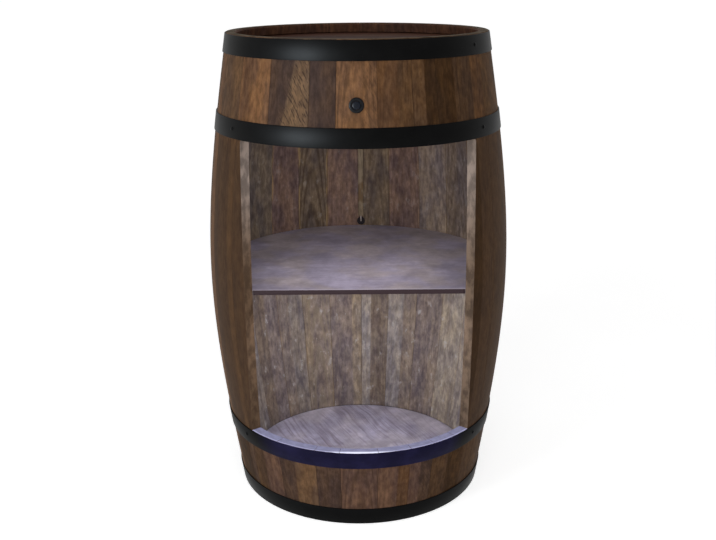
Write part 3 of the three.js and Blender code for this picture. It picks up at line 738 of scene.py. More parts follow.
def duct_plastic(paint):
    """Trunking whose brown finish is worn paler in lengths along it, with a fine dull texture."""
    place = paint.place()
    lengths = paint.noise(place, (30.0, 30.0, 16.0), detail=3.0, roughness=0.6)
    rubs = paint.noise(place, (260.0, 260.0, 60.0), detail=4.0, roughness=0.62)
    skin = paint.noise(place, grey(900.0), detail=2.0, roughness=0.5)
    trunking = tint("trunking")
    base = paint.mix(lengths.step(0.54, 0.66), scaled(trunking, 1.2), stain(92, 72, 52))
    base = paint.mix(rubs.step(0.44, 0.66) * 0.6, base, scaled(trunking, 0.55))
    paint.bump(skin * 0.4 + rubs * 0.6, distance=0.0001, strength=0.4)
    paint.finish(base_color=base, roughness=0.5 + rubs * 0.14, specular_ior_level=0.05)


def nut_plating(paint):
    """Nickel plate: fine turning lines and slight tarnish."""
    place = paint.place()
    lines = paint.noise(place, (1500.0, 60.0, 1500.0), detail=2.0, roughness=0.5)
    tarnish = paint.noise(place, grey(160.0), detail=3.0, roughness=0.6)
    base = paint.mix(tarnish.step(0.45, 0.7), (0.55, 0.54, 0.52), (0.36, 0.34, 0.31))
    paint.bump(lines, distance=0.00004, strength=0.4)
    paint.finish(base_color=base, roughness=0.25 + tarnish * 0.2, metallic=1.0)


def strip_light(paint):
    """White silicone strip whose light is brightest over each diode along it."""
    pitch = 0.0125
    wave = (paint.grain().second() * (math.tau / pitch)).sine() * 0.5 + 0.5
    diode = wave.step(0.2, 1.0)
    light = tint("light")
    frost = paint.noise(paint.place(), grey(900.0), detail=2.0)
    paint.bump(frost, distance=0.00005, strength=0.3)
    paint.finish(
        base_color=paint.mix(diode, (0.80, 0.80, 0.78), (0.9, 0.88, 0.7)),
        roughness=0.4 + frost * 0.1,
        emission_color=paint.mix(diode, scaled(light, 0.55), light),
        emission_strength=stage_values().strip,
    )


def ground_white(paint):
    """Pale floor that the camera sees near white, with the object's shadow left in."""
    paint.tree.nodes.clear()
    place = paint.place()
    speckle = paint.noise(place, grey(3.0), detail=2.0)
    tone = paint.mix(speckle.step(0.3, 0.7), grey(0.86), grey(0.88))
    plain = paint.node("ShaderNodeBsdfDiffuse", None, {"Color": tone})
    away = paint.node("ShaderNodeVectorMath", {"operation": "LENGTH"}, {0: place}, output="Value")
    glow = paint.mix(away.step(0.8, 3.0), grey(0.90), grey(1.0))
    lift = paint.node("ShaderNodeEmission", None, {"Color": glow, "Strength": paint.seen() * 0.733})
    both = paint.node("ShaderNodeAddShader", None, {0: plain, 1: lift})
    paint.node("ShaderNodeOutputMaterial", None, {"Surface": both})


# Shapes of the barrel's wall


def outer_radius(z):
    """Radius of the outside at a height.

    It falls from the belly to the ends as a beam held in its middle bends: by (3 s^2 - s^3) / 2 of the
    difference, where s is the share of the way from half height to an end.
    """
    share = np.abs(2 * np.asarray(z, float) / sizes().height - 1)
    return sizes().belly - (sizes().belly - sizes().end) * (3 * share**2 - share**3) / 2


def inner_radius(z):
    return outer_radius(z) - sizes().thickness


def wall_slope(z):
    """How much the radius grows per metre of height."""
    reach = 0.0003
    return float(outer_radius(z + reach) - outer_radius(z - reach)) / (2 * reach)


def turned_to(degrees, radius, z):
    """Points at directions, radii and heights round the barrel's axis, for arrays of one shape.

    X is the radius times the sine, and Y the axis less the radius times the cosine.
    """
    angle = np.radians(degrees)
    x, y, z = np.broadcast_arrays(radius * np.sin(angle), AXIS_Y - radius * np.cos(angle), z)
    return np.stack([x, y, z], -1)


def opening_degrees(z):
    """Direction of the opening's edge at a height.

    From its value at half height it turns outwards with the square of the share of the way from there
    to the opening's top. The rounded corner at that top moves it inwards by the radius less the root of
    radius squared less rise squared.
    """
    height, corner = sizes().height, sizes().corner
    share = np.abs(2 * np.asarray(z, float) / height - 1) / abs(2 * OPENING_TOP / height - 1)
    edge = EDGE_AT_BELLY + (EDGE_AT_TOP - EDGE_AT_BELLY) * share**2
    rise = np.clip(np.asarray(z, float) - (OPENING_TOP - corner), 0, corner)
    inset = corner - np.sqrt(np.maximum(corner**2 - rise**2, 0))
    return edge - np.degrees(inset / outer_radius(z))


def wall_frame(degrees, z, radius):
    """A matrix at a point of the wall whose X runs round the barrel and whose Z points out of the wall."""
    angle = math.radians(degrees)
    flat = Vector((math.sin(angle), -math.cos(angle), 0))
    outward = Vector((flat.x, flat.y, -wall_slope(z))).normalized()
    sideways = Vector((-flat.y, flat.x, 0))
    matrix = Matrix((sideways, outward.cross(sideways), outward)).transposed().to_4x4()
    matrix.translation = Vector((radius * flat.x, AXIS_Y + radius * flat.y, z))
    return matrix


# Meshes


def piece(name, shape, make, node=None, body=CABINET, smooth_below=50.0, weld=False):
    """A mesh object from points and faces, in the material that a function makes.

    It rides on a body, stands for a node if one is named, and is shaded smooth below an angle, or
    everywhere if there is none.
    """
    points, faces = shape
    mesh = bpy.data.meshes.new(name)
    mesh.from_pydata(np.asarray(points, float).tolist(), [], [list(map(int, face)) for face in faces])
    if weld:
        weld_mesh(mesh)
    mesh.validate()
    mesh.materials.append(material(make))
    mesh.shade_smooth()
    if smooth_below:
        mesh.set_sharp_from_angle(angle=math.radians(smooth_below))
    made = bpy.data.objects.new(name, mesh)
    bpy.context.scene.collection.objects.link(made)
    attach(made, body)
    if node:
        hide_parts(node)
    return made


def refinish(node, make):
    """Gives a CAD node's mesh the material that a function makes."""
    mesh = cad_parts[node].data
    mesh.materials.clear()
    mesh.materials.append(material(make))


def weld_mesh(mesh):
    """Merges points that coincide, which closes poles and seams."""
    work = bmesh.new()
    work.from_mesh(mesh)
    bmesh.ops.remove_doubles(work, verts=work.verts, dist=1e-7)
    work.to_mesh(mesh)
    work.free()


def rounded(made, width, segments=2):
    """Rounds a piece's edges with a Bevel."""
    bevel = made.modifiers.new("edges", "BEVEL")
    bevel.width = width
    bevel.segments = segments
    bevel.limit_method = "ANGLE"
    bevel.angle_limit = math.radians(40)
    bevel.use_clamp_overlap = False
    bevel.harden_normals = True


def set_corners(mesh, name, values, kind="FLOAT"):
    """Fills a face corner attribute from one value, or from an array with a row for each corner."""
    key, row = {"FLOAT": ("value", ()), "FLOAT_COLOR": ("color", (4,))}[kind]
    layer = mesh.attributes.new(name, kind, "CORNER")
    filled = np.broadcast_to(np.asarray(values, np.float32), (len(mesh.loops), *row))
    layer.data.foreach_set(key, filled.ravel())


def set_map(mesh, name, values):
    """Fills a UV map from an array with a row for each corner."""
    layer = mesh.uv_layers.new(name=name)
    layer.uv.foreach_set("vector", np.asarray(values, np.float32).ravel())


def slab(outer, inner, keep):
    """Faces of a wall between two grids of points, of the cells that are kept.

    Gives the points, the faces, each face's kind (0 outside, 1 inside, 2 upright edge, 3 end), and for
    each corner its column, its row and which grid it is on. An edge between a kept and an empty cell
    gets a face from one grid to the other.
    """
    rows, columns = outer.shape[:2]
    count = rows * columns
    number = np.arange(count).reshape(rows, columns)
    low_left, low_right = number[:-1, :-1], number[:-1, 1:]
    high_left, high_right = number[1:, :-1], number[1:, 1:]
    padded = np.pad(keep, 1)
    open_left, open_right = keep & ~padded[1:-1, :-2], keep & ~padded[1:-1, 2:]
    open_low, open_high = keep & ~padded[:-2, 1:-1], keep & ~padded[2:, 1:-1]

    def cells(mask, *corners):
        return np.stack([corner[mask] for corner in corners], -1)

    groups = [
        (0, cells(keep, low_left, low_right, high_right, high_left)),
        (1, cells(keep, low_left, high_left, high_right, low_right) + count),
        (2, cells(open_right, low_right, low_right + count, high_right + count, high_right)),
        (2, cells(open_left, low_left, high_left, high_left + count, low_left + count)),
        (3, cells(open_low, low_left, low_left + count, low_right + count, low_right)),
        (3, cells(open_high, high_left, high_right, high_right + count, high_left + count)),
    ]
    faces = np.concatenate([group for _, group in groups])
    kinds = np.concatenate([np.full(len(group), kind) for kind, group in groups])
    points = np.concatenate([outer.reshape(-1, 3), inner.reshape(-1, 3)])
    corners = faces.ravel()
    within = corners % count
    used = np.zeros(2 * count, bool)
    used[corners] = True
    renumber = np.cumsum(used) - 1
    return points[used], renumber[faces], kinds, within % columns, within // columns, corners // count


def placed(points, matrix):
    """Points after a 4 by 4 matrix."""
    array = np.array(matrix)
    return points @ array[:3, :3].T + array[:3, 3]


def revolved(profile, sides, matrix, closed=False):
    """A profile of radius and height carried round its axis in a number of sides, then placed.

    A point at angle a is (radius cos a, radius sin a, height). A closed profile joins its ends.
    """
    profile = np.asarray(profile, float)
    rows = len(profile)
    angles = np.linspace(0, math.tau, sides, endpoint=False)
    radius, height = profile[:, :1], profile[:, 1:]
    around = [radius * np.cos(angles), radius * np.sin(angles), np.broadcast_to(height, (rows, sides))]
    low = np.arange(rows if closed else rows - 1)[:, None]
    high = (low + 1) % rows
    left = np.arange(sides)
    right = (left + 1) % sides
    corners = [low * sides + left, low * sides + right, high * sides + right, high * sides + left]
    return placed(np.stack(around, -1).reshape(-1, 3), matrix), np.stack(corners, -1).reshape(-1, 4)


def arc(centre, radii, start, end, count):
    """Points of a part of an ellipse, from one angle to another, in degrees.

    Each is the centre plus the radii times the cosine and the sine.
    """
    angle = np.radians(np.linspace(start, end, count))
    return np.stack([centre[0] + radii[0] * np.cos(angle), centre[1] + radii[1] * np.sin(angle)], -1)


def skinned(rings):
    """Points and faces of a row of rings that are joined each to the next, with both ends capped."""
    frames, count = rings.shape[:2]
    low = np.arange(frames - 1)[:, None] * count
    left = np.arange(count)
    right = (left + 1) % count
    sides = np.stack([low + left, low + right, low + count + right, low + count + left], -1)
    first = list(range(count))[::-1]
    last = [(frames - 1) * count + i for i in range(count)]
    return rings.reshape(-1, 3), [*sides.reshape(-1, 4).tolist(), first, last]


def swept(section, origins, sideways, outward):
    """A closed section carried along origins.

    Each point is an origin plus the section's first number sideways plus its second outward. The two
    directions are given once, or for each origin.
    """
    across = section[:, :1] * np.expand_dims(sideways, -2)
    return skinned(origins[:, None, :] + across + section[:, 1:] * np.expand_dims(outward, -2))


def strip_section(width, thickness, edge):
    """A rectangle with rounded corners: width from its middle first, then thickness from its back."""
    half, top = width / 2 - edge, thickness - edge
    corners = [(half, edge, -90), (half, top, 0), (-half, top, 90), (-half, edge, 180)]
    return np.concatenate([arc((x, y), (edge, edge), turn, turn + 90, 3) for x, y, turn in corners])


def route(corners):
    """Points along a route, straight between its corners and bent at each.

    A bend is a curve of second degree, (1 - t)^2 start + 2 t (1 - t) corner + t^2 end. It starts and
    ends where an arc of the corner's radius would touch.
    """
    t = np.linspace(0, 1, 8)[:, None]
    points = [np.array(corners[0][0], float)]
    for (before, _), (here, radius), (after, _) in zip(corners, corners[1:], corners[2:]):
        here = np.array(here)
        into = here - np.array(before)
        out = np.array(after) - here
        into, out = into / np.linalg.norm(into), out / np.linalg.norm(out)
        reach = radius * math.tan(math.acos(np.clip(into @ out, -1, 1)) / 2)
        start, end = here - into * reach, here + out * reach
        points.extend((1 - t) ** 2 * start + 2 * t * (1 - t) * here + t**2 * end)
    points.append(np.array(corners[-1][0], float))
    return np.array(points) + (0, AXIS_Y, 0)


def tube(path, radius, sides=14):
    """A round tube along a path.

    Each ring lies across the mean direction of its two neighbours, with X as its first side.
    """
    ahead = np.gradient(path, axis=0)
    ahead /= np.linalg.norm(ahead, axis=1)[:, None]
    across = np.array([1.0, 0, 0]) - ahead * ahead[:, :1]
    across /= np.linalg.norm(across, axis=1)[:, None]
    angle = np.linspace(0, math.tau, sides, endpoint=False)
    section = radius * np.stack([np.cos(angle), np.sin(angle)], -1)
    return swept(section, path, across, np.cross(ahead, across))


def round_board(chords, radius, low, high, front=None):
    """One board of a round panel, between two chords, as a slab of points.

    X runs from chord to chord as radius times the sine of even steps of angle, and Y from the front
    arc, or a straight front edge, to the back arc.
    """
    share, least = np.linspace(0, 1, 41), 1e-8
    turn = np.arcsin(np.clip(np.array(chords) / radius, -1, 1))
    x = radius * np.sin(turn[0] + (turn[1] - turn[0]) * share)
    back = np.sqrt(np.maximum(radius**2 - x**2, least))
    near = -back if front is None else np.maximum(front, -back)
    y = near + (back - near) * np.linspace(0, 1, 13)[:, None]
    flat = np.stack([np.broadcast_to(x, y.shape), y + AXIS_Y, np.zeros_like(y)], -1)
    keep = np.ones((y.shape[0] - 1, y.shape[1] - 1), bool)
    points, faces, *_ = slab(flat + (0, 0, high), flat + (0, 0, low), keep)
    return points, faces


def quarter_turn(points):
    """Points turned a quarter round the barrel's axis: x and y from it become minus y and x."""
    return np.stack([AXIS_Y - points[:, 1], AXIS_Y + points[:, 0], points[:, 2]], -1)


def joined(parts):
    """Several shapes, each of points and faces, as one."""
    points, faces, start = [], [], 0
    for some_points, some_faces in parts:
        points.append(some_points)
        faces.extend([[int(i) + start for i in face] for face in some_faces])
        start += len(some_points)
    return np.concatenate(points), faces


# Staves

# The corners of a stave's faces, as arrays: the face's kind as slab gives it, the point's direction,
# height, radius and depth under the outside, and whether it is on the opening's edge
Corners = namedtuple("Corners", "kind angle height radius depth on_edge")


def stave_rows(low, high, extra):
    """Heights of a stave's rows, and its inside radius at each.

    The rows are even steps along the stave, the edges of its end chamfers and grooves, and the extra
    heights. The inside is the wall's, deepened by the grooves and cut back by the chamfers.
    """
    height, groove = sizes().height, sizes().groove
    chamfers = [0, CHAMFER, height - CHAMFER, height]
    grooves = []
    for head_low, head_high in ((FLOOR_LOW.z, FLOOR_HIGH.z), (HEAD_LOW.z, HEAD_HIGH.z)):
        under, over = head_low - GROOVE_PLAY, head_high + GROOVE_PLAY
        grooves.append([under - GROOVE_RAMP, under, over, over + GROOVE_RAMP])
    marks = [*chamfers[1:3], *grooves[0], *grooves[1]]
    clear, slack = 0.0025, 1e-9
    steps = np.linspace(0, height, 61)
    even = [z for z in steps if min(abs(z - mark) for mark in marks) > clear or z in (0, height)]
    z = np.array(sorted({*even, *marks, *extra, low, high}))
    z = z[(z >= low - slack) & (z <= high + slack)]
    inside = inner_radius(z)
    for edges in grooves:
        inside += groove * np.interp(z, edges, [0, 1, 1, 0], 0, 0)
    inside += np.interp(z, chamfers, [CHAMFER, 0, 0, CHAMFER])
    return z, inside


def map_stave(mesh, index, spec, at):
    """Writes the map and the numbers that the staves' wood reads.

    The map's first number is the distance round the barrel from the stave's middle, or the depth on an
    upright edge, and its second is the height, or three times the depth on an end. Both are shifted
    from stave to stave, so that no two staves show the same part of the pattern.
    """
    name, *_, figure, saw = spec
    first, last = JOINTS[index], JOINTS[index + 1]
    lift = STEP_ALONG * index
    around = np.radians(at.angle - (first + last) / 2) * at.radius
    across = np.where(at.kind == 2, at.depth + EDGE_SHIFT, around) + STEP_ACROSS * index
    along = np.where(at.kind == 3, at.depth * 3, at.height) + lift
    set_map(mesh, "grain", np.stack([across + np.where(at.kind == 1, INSIDE_SHIFT, 0), along], -1))

    same_height = 1e-4
    ledge = (at.kind == 3) & (np.abs(at.height - OPENING_LOW) < same_height)
    on_ledge = 1 + np.clip(1 - at.depth / sizes().thickness, 0, 1)
    sawn = (at.kind == 2) & at.on_edge
    saw = np.where(at.height < OPENING_LOW, FOOT_SAW.get(name, 0.0), saw)
    between = [OPENING_LOW - 0.01, OPENING_LOW + 0.02, OPENING_TOP - 0.02, OPENING_TOP + 0.01]
    calm = CALMED if name in CALM else 0.0
    mean_radius = 0.24
    numbers = {
        "across": (at.angle - first) / (last - first),
        "width": math.radians(last - first) * mean_radius,
        "inside": (at.height > FLOOR_HIGH.z) & (at.height < HEAD_LOW.z) & (at.kind == 1),
        "cut": np.where(at.kind == 3, 2, 0) + np.where(ledge, on_ledge, 0) + sawn,
        "figure": figure,
        "saw": np.where(at.kind == 0, saw, 0.0),
        "shelf_height": SHELF_LOW.z + lift,
        "worn": WORN.get(name, LEAST_WORN),
        "lively": 1 - calm * np.interp(at.height, between, [0, 1, 1, 0]),
    }
    for layer, values in numbers.items():
        set_corners(mesh, layer, values)


def tone_stave(mesh, spec, at):
    """Writes the stave's two tones and where they meet, outside, inside and under the shelf."""
    name, left, right, split, inner = spec[:5]
    over = np.interp(at.height, [OPENING_TOP, OPENING_TOP + 0.03], [0, 1])[:, None]
    down = np.interp(at.height, [HOOP_LOW["lower"] - 0.005, OPENING_LOW - 0.002], [1, 0])[:, None]
    outside = [TONES[left], TONES[right]]
    for share, others in ((over, BAND_TONES.get(name)), (down, FOOT_TONES.get(name))):
        if others:
            outside = [tone + (TONES[other] - tone) * share for tone, other in zip(outside, others)]
    *low_tones, low_split = UNDER_SHELF.get(name, COMMON_UNDER_SHELF)
    # Under the shelf the inside takes the paler tones, which have painted light in them.
    below = np.interp(at.height, [SHELF_LOW.z - 0.004, SHELF_LOW.z], [1, 0])[:, None]
    upper = np.where((at.height > HEAD_LOW.z)[:, None], TONES[RIM_TONE], TONES[inner])
    above_middle = (at.height - (HEAD_LOW.z + OPENING_TOP) / 2) * (at.height > OPENING_TOP)
    is_inside = at.kind == 1
    set_corners(mesh, "split", np.where(is_inside, low_split, split + LEAN.get(name, 0) * above_middle))
    for layer, tone, low_tone in zip(("tone", "second_tone"), outside, low_tones):
        within = upper + (TONES[low_tone] - upper) * below
        set_corners(mesh, layer, np.where(is_inside[:, None], within, tone), "FLOAT_COLOR")


def stave(node, index, spec, low, high):
    """One stave as a wall between the outer and the inner curve.

    Its rows are the heights that stave_rows gives, and its columns are even steps of angle from joint
    to joint. A stave beside the opening has a second set of columns, on the other side of the opening's
    edge. The two at the back each leave out half of the grommet's hole.
    """
    first, last = JOINTS[index], JOINTS[index + 1]
    beside, at_grommet = node in BESIDE_OPENING, node in AT_GROMMET
    extra = []
    if beside:
        rise = sizes().corner * np.sin(np.radians([0, 18, 36, 52, 66, 78]))
        extra = [OPENING_LOW, OPENING_TOP, *(OPENING_TOP - sizes().corner + rise)]
    if at_grommet:
        extra = list(GROMMET_HEIGHT + GROMMET_HOLE * np.sin(np.radians(np.linspace(-90, 90, 11))))
    z, inside = stave_rows(low, high, extra)
    if beside:
        clear = 0.006
        too_near = np.minimum(np.abs(z - OPENING_LOW), np.abs(z - OPENING_TOP)) < clear
        kept = ~too_near | np.isin(z, extra)
        z, inside = z[kept], inside[kept]
    outside = outer_radius(z)
    gap = np.degrees(sizes().joint_gap / 2 / outside)[:, None]
    start, end = first + gap, last - gap
    if at_grommet:
        reach = np.sqrt(np.maximum(GROMMET_HOLE**2 - (z - GROMMET_HEIGHT) ** 2, 0))
        notch = np.degrees(reach / outside)[:, None]
        start, end = (start, end - notch) if node == AT_GROMMET[0] else (start + notch, end)

    widest_step = 1.6
    steps = 7 if beside else max(5, round((last - first) / widest_step))
    t = np.linspace(0, 1, steps + 1)
    if beside:
        on_left = node == BESIDE_OPENING[0]
        edge = opening_degrees(np.clip(z, OPENING_LOW, OPENING_TOP))[:, None]
        edge = -edge if on_left else edge
        degrees = np.concatenate([start + (edge - start) * t, edge + (end - edge) * t[1:]], 1)
        middle = (z[1:] + z[:-1]) / 2
        open_rows = (middle > OPENING_LOW) & (middle < OPENING_TOP)
        open_columns = (np.arange(2 * steps) >= steps) == on_left
        keep = ~(open_rows[:, None] & open_columns)
    else:
        degrees = start + (end - start) * t
        keep = np.ones((len(z) - 1, steps), bool)
    outer, inner = (turned_to(degrees, radius[:, None], z[:, None]) for radius in (outside, inside))
    points, faces, kinds, columns, rows, side = slab(outer, inner, keep)
    made = piece(node + "_wood", (points, faces), stave_wood, node, smooth_below=None)
    radius = np.where(side == 0, outside[rows], inside[rows])
    at = Corners(
        kind=np.repeat(kinds, 4), angle=degrees[rows, columns], height=z[rows], radius=radius,
        depth=outside[rows] - radius, on_edge=beside & (columns == steps),
    )
    map_stave(made.data, index, spec, at)
    tone_stave(made.data, spec, at)
    rounded(made, sizes().edge)


class BARREL_OT_staves(Operator):
    """Make every stave"""

    bl_idname = "barrel.staves"
    bl_label = "Staves"

    def execute(self, context):
        height = sizes().height
        for index, spec in enumerate(STAVES):
            name = spec[0]
            if name.startswith("front_stave"):
                stave("upper_" + name, index, spec, OPENING_TOP, height)
                stave("lower_" + name, index, spec, 0.0, OPENING_LOW)
            else:
                stave(name, index, spec, 0.0, height)
        return {"FINISHED"}


# Hoops and their fasteners


class BARREL_OT_hoops(Operator):
    """Make the four hoops, each a strip bent round the barrel with its ends lapped at the back"""

    bl_idname = "barrel.hoops"
    bl_label = "Hoops"

    def execute(self, context):
        values = sizes()
        degrees = np.linspace(LAP_START, LAP_START + 360 + LAP_DEGREES, 249)[:, None]
        # Before the lap the strip rises by 3 s^2 - 2 s^3 of the lift, where s goes from 0 to 1
        s = np.clip((degrees - LAP_START - 360 + LAP_DEGREES) / LAP_DEGREES, 0, 1)
        lift = s * s * (3 - 2 * s) * LAP_LIFT
        section = strip_section(values.hoop_width, values.hoop_thickness, edge=0.0005)[::-1]
        for name, low in HOOP_LOW.items():
            height = low + values.hoop_width / 2 + section[:, 0]
            radius = outer_radius(height) + values.hoop_gap + section[:, 1]
            shape = skinned(turned_to(degrees, radius + lift, height))
            make = low_hoop_paint if name == "lower" else hoop_paint
            piece(name + "_hoop_strip", shape, make, name + "_hoop")
        return {"FINISHED"}


def domed_pin(shank, depth, head, height):
    """Profile of a pin: a shank, a flat underside, and a head whose dome is a quarter of an ellipse."""
    underside = 0.0003
    dome = arc((0, underside), (head, height), 0, 90, 8)
    dome[-1, 0] = 0
    return [(0, -depth), (shank, -depth), (shank, underside), *dome]


class BARREL_OT_fasteners(Operator):
    """Make the rivets in the laps of the hoops and the nails beside the opening"""

    bl_idname = "barrel.fasteners"
    bl_label = "Rivets and nails"

    def execute(self, context):
        values = sizes()
        strip = values.hoop_gap + values.hoop_thickness
        rivet = domed_pin(shank=0.0022, depth=0.0035, head=0.005, height=0.0022)
        nail = domed_pin(shank=0.0013, depth=0.012, head=0.003, height=0.0012)
        pins = [
            (f"{hoop}_hoop_rivet_{i + 1}", hoop, degrees, strip + LAP_LIFT, rivet)
            for hoop in HOOP_LOW
            for i, degrees in enumerate(RIVET_DEGREES)
        ]
        for hoop, side in NAILS:
            degrees = NAIL_DEGREES if side == "right" else -NAIL_DEGREES
            pins.append((f"{hoop}_hoop_nail_{side}", hoop, degrees, strip, nail))
        for node, hoop, degrees, stand, profile in pins:
            z = HOOP_LOW[hoop] + values.hoop_width / 2
            matrix = wall_frame(degrees, z, float(outer_radius(z)) + stand)
            shape = revolved(profile, 24, matrix)
            piece(node + "_head", shape, hoop_paint, node, weld=True)
        return {"FINISHED"}


# Top, floor, shelf and cleats


def panel(name, low, high, make, node, front=None):
    """A round panel in one piece that fills its node's box, or the part of it behind a front edge."""
    radius = (high.x - low.x) / 2
    reach = radius * NEAR_RIM
    shape = round_board((-reach, reach), radius, low.z, high.z, front)
    return piece(name, shape, make, node, smooth_below=None)


class BARREL_OT_heads(Operator):
    """Make the top of jointed boards and the floor of one round panel"""

    bl_idname = "barrel.heads"
    bl_label = "Top and floor"

    def execute(self, context):
        radius = (HEAD_HIGH.x - HEAD_LOW.x) / 2
        half_seam = 0.0002
        cuts = np.array(BOARD_SEAMS) * radius * NEAR_RIM
        parts = []
        for first, last in zip(cuts, cuts[1:]):
            chords = (first + half_seam, last - half_seam)
            points, faces = round_board(chords, radius, HEAD_LOW.z, HEAD_HIGH.z)
            parts.append((quarter_turn(points), faces))
        shape = joined(parts)
        top = piece("top_head_boards", shape, head_wood, "top_head", smooth_below=None)
        shades = [np.full(4 * len(faces), shade) for (_, faces), shade in zip(parts, BOARD_SHADES)]
        set_corners(top.data, "board", np.concatenate(shades))
        rounded(top, width=0.0009)
        floor = panel("floor_panel", FLOOR_LOW, FLOOR_HIGH, floor_wood, "bottom_head")
        rounded(floor, width=0.0008)
        return {"FINISHED"}


class BARREL_OT_shelf(Operator):
    """Make the shelf and finish the cleats that it lies on"""

    bl_idname = "barrel.shelf"
    bl_label = "Shelf"

    def execute(self, context):
        front = SHELF_LOW.y - AXIS_Y
        shelf = panel("shelf_panel", SHELF_LOW, SHELF_HIGH, shelf_wood, "shelf", front)
        rounded(shelf, width=0.0012, segments=3)
        for side in ("left", "right"):
            refinish("shelf_cleat_" + side, cleat_wood)
        return {"FINISHED"}


# Push button


class BARREL_OT_push_button(Operator):
    """Make the push button: body with flange and thread, terminals and domed cap, and finish its nut"""

    bl_idname = "barrel.push_button"
    bl_label = "Push button"

    def execute(self, context):
        matrix = wall_frame(SWITCH_DEGREES, SWITCH_HEIGHT, float(outer_radius(SWITCH_HEIGHT)))
        self.body(matrix)
        self.terminals(matrix)
        self.cap(matrix)
        refinish("switch_nut", nut_plating)
        return {"FINISHED"}

    def body(self, matrix):
        """A turned body: its back, a thread, the rounded flange, and the cap's well.

        The thread is rings whose radius is more and less than the middle one by turns.
        """
        rings = 57
        thread = 0.0079 + 0.00018 * np.cos(np.arange(rings) * math.pi)
        profile = [
            (0, -0.03), (0.0078, -0.03), (0.008, -0.0297),
            *np.stack([thread, np.linspace(-0.0285, -0.0005, rings)], -1),
            (0.008, 0.0003), (0.0112, 0.0003),
            *arc((0.0110, 0.0007), (0.0004, 0.0004), -90, 0, 4),
            *arc((0.0092, 0.0016), (0.0022, 0.0017), 0, 90, 10),
            *arc((0.0069, 0.0029), (0.0004, 0.0004), 90, 180, 5),
            (0.0065, -0.0052), (0.0, -0.0052),
        ]
        shape = revolved(profile, sizes().facets, matrix)
        piece(
            "button_body", shape, button_body_plastic, "switch_body",
            smooth_below=40.0, weld=True,
        )

    def terminals(self, matrix):
        """Two flat blades that stand out of the body's back."""
        width, thickness, edge = 0.0048, 0.0008, 0.0002
        from_middle, root, tip = 0.003, -0.0299, -0.038
        section = strip_section(width, thickness, edge)
        blades = []
        for side in (-1, 1):
            x = side * from_middle - thickness / 2
            points, faces = swept(section, np.array([(x, 0, root), (x, 0, tip)]), (0, 1, 0), (1, 0, 0))
            blades.append((placed(points, matrix), faces))
        piece("button_terminals", joined(blades), nut_plating, smooth_below=35.0)

    def cap(self, matrix):
        """The part that is pressed: a plug with a rounded rim and a shallow dome."""
        dome = arc((0.0, 0.00505), (0.00565, 0.00085), 12, 90, 9)
        dome[-1, 0] = 0
        profile = [
            (0, -0.0024), (0.0060, -0.0024), (0.0062, -0.0022),
            *arc((0.0054, 0.0045), (0.0008, 0.0008), 0, 50, 5),
            *dome,
        ]
        shape = revolved(profile, sizes().facets, matrix)
        piece(
            "button_cap", shape, button_cap_plastic, "switch_button",
            body=BUTTON, weld=True,
        )


# Light strip, duct, grommet and leads


class BARREL_OT_light_strip(Operator):
    """Make the light strip inside the wall, over the opening"""

    bl_idname = "barrel.light_strip"
    bl_label = "Light strip"

    def execute(self, context):
        # Its section is turned round the barrel's axis, at a clearance inside the wall
        low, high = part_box("light_strip")
        clearance, thickness, edge = 0.00045, 0.0025, 0.0007
        section = strip_section(high.z - low.z, thickness, edge)
        degrees = np.linspace(-40, 40, 81)
        height = (low.z + high.z) / 2 + section[:, 0]
        radius = inner_radius(height) - clearance - section[:, 1]
        shape = skinned(turned_to(degrees[:, None], radius[None, :], height))
        made = piece("light_strip_body", shape, strip_light, "light_strip")
        mean_radius = 0.223
        along = np.radians(degrees) * mean_radius
        corners = np.concatenate([np.ravel(face) for face in shape[1]])
        rows, places = corners // len(section), corners % len(section)
        set_map(made.data, "grain", np.stack([section[places, 0], along[rows]], -1))
        return {"FINISHED"}


class BARREL_OT_duct(Operator):
    """Make the duct, a hollow trunk with a U of walls that follows the back wall's curve"""

    bl_idname = "barrel.duct"
    bl_label = "Duct"

    def execute(self, context):
        low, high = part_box("lead_duct")
        z = np.linspace(low.z, high.z, 49)
        angle = math.radians(BACK_JOINT)
        outward = np.array([math.sin(angle), -math.cos(angle), 0.0])
        sideways = np.array([-outward[1], outward[0], 0.0])
        clearance = 0.0005
        origins = turned_to(np.full(len(z), BACK_JOINT), inner_radius(z) - clearance, z)
        half, wall, deep = 0.005, 0.0008, 0.0094
        bevel, mid_bevel = 0.0008, 0.0003
        section = np.array([
            (-half, 0), (-half, -deep + bevel), (-half + mid_bevel, -deep + mid_bevel),
            (-half + bevel, -deep), (half - bevel, -deep), (half - mid_bevel, -deep + mid_bevel),
            (half, -deep + bevel), (half, 0), (half - wall, 0), (half - wall, -deep + wall),
            (-half + wall, -deep + wall), (-half + wall, 0),
        ])
        shape = swept(section, origins, sideways, outward)
        piece("lead_duct_trunk", shape, duct_plastic, "lead_duct", smooth_below=35.0)
        return {"FINISHED"}


class BARREL_OT_grommet(Operator):
    """Make the grommet, a ring with a rounded flange inside and a plain barrel through the wall"""

    bl_idname = "barrel.grommet"
    bl_label = "Grommet"

    def execute(self, context):
        matrix = wall_frame(BACK_JOINT, GROMMET_HEIGHT, float(inner_radius(GROMMET_HEIGHT)))
        bore, barrel, flange, end = 0.0019, 0.0046, 0.008, 0.0169
        seat = -0.00045
        profile = [
            (bore, end), (bore, seat - 0.0014),
            *arc((0.0023, seat - 0.0012), (0.0004, 0.0004), 180, 270, 4),
            *arc((0.0072, seat - 0.0008), (0.0008, 0.0008), -90, 0, 5),
            (flange, seat), (barrel, seat), (barrel, end),
        ]
        shape = revolved(profile, 40, matrix, closed=True)
        piece(
            "lead_grommet_ring", shape, grommet_rubber, "lead_grommet",
            smooth_below=40.0,
        )
        return {"FINISHED"}


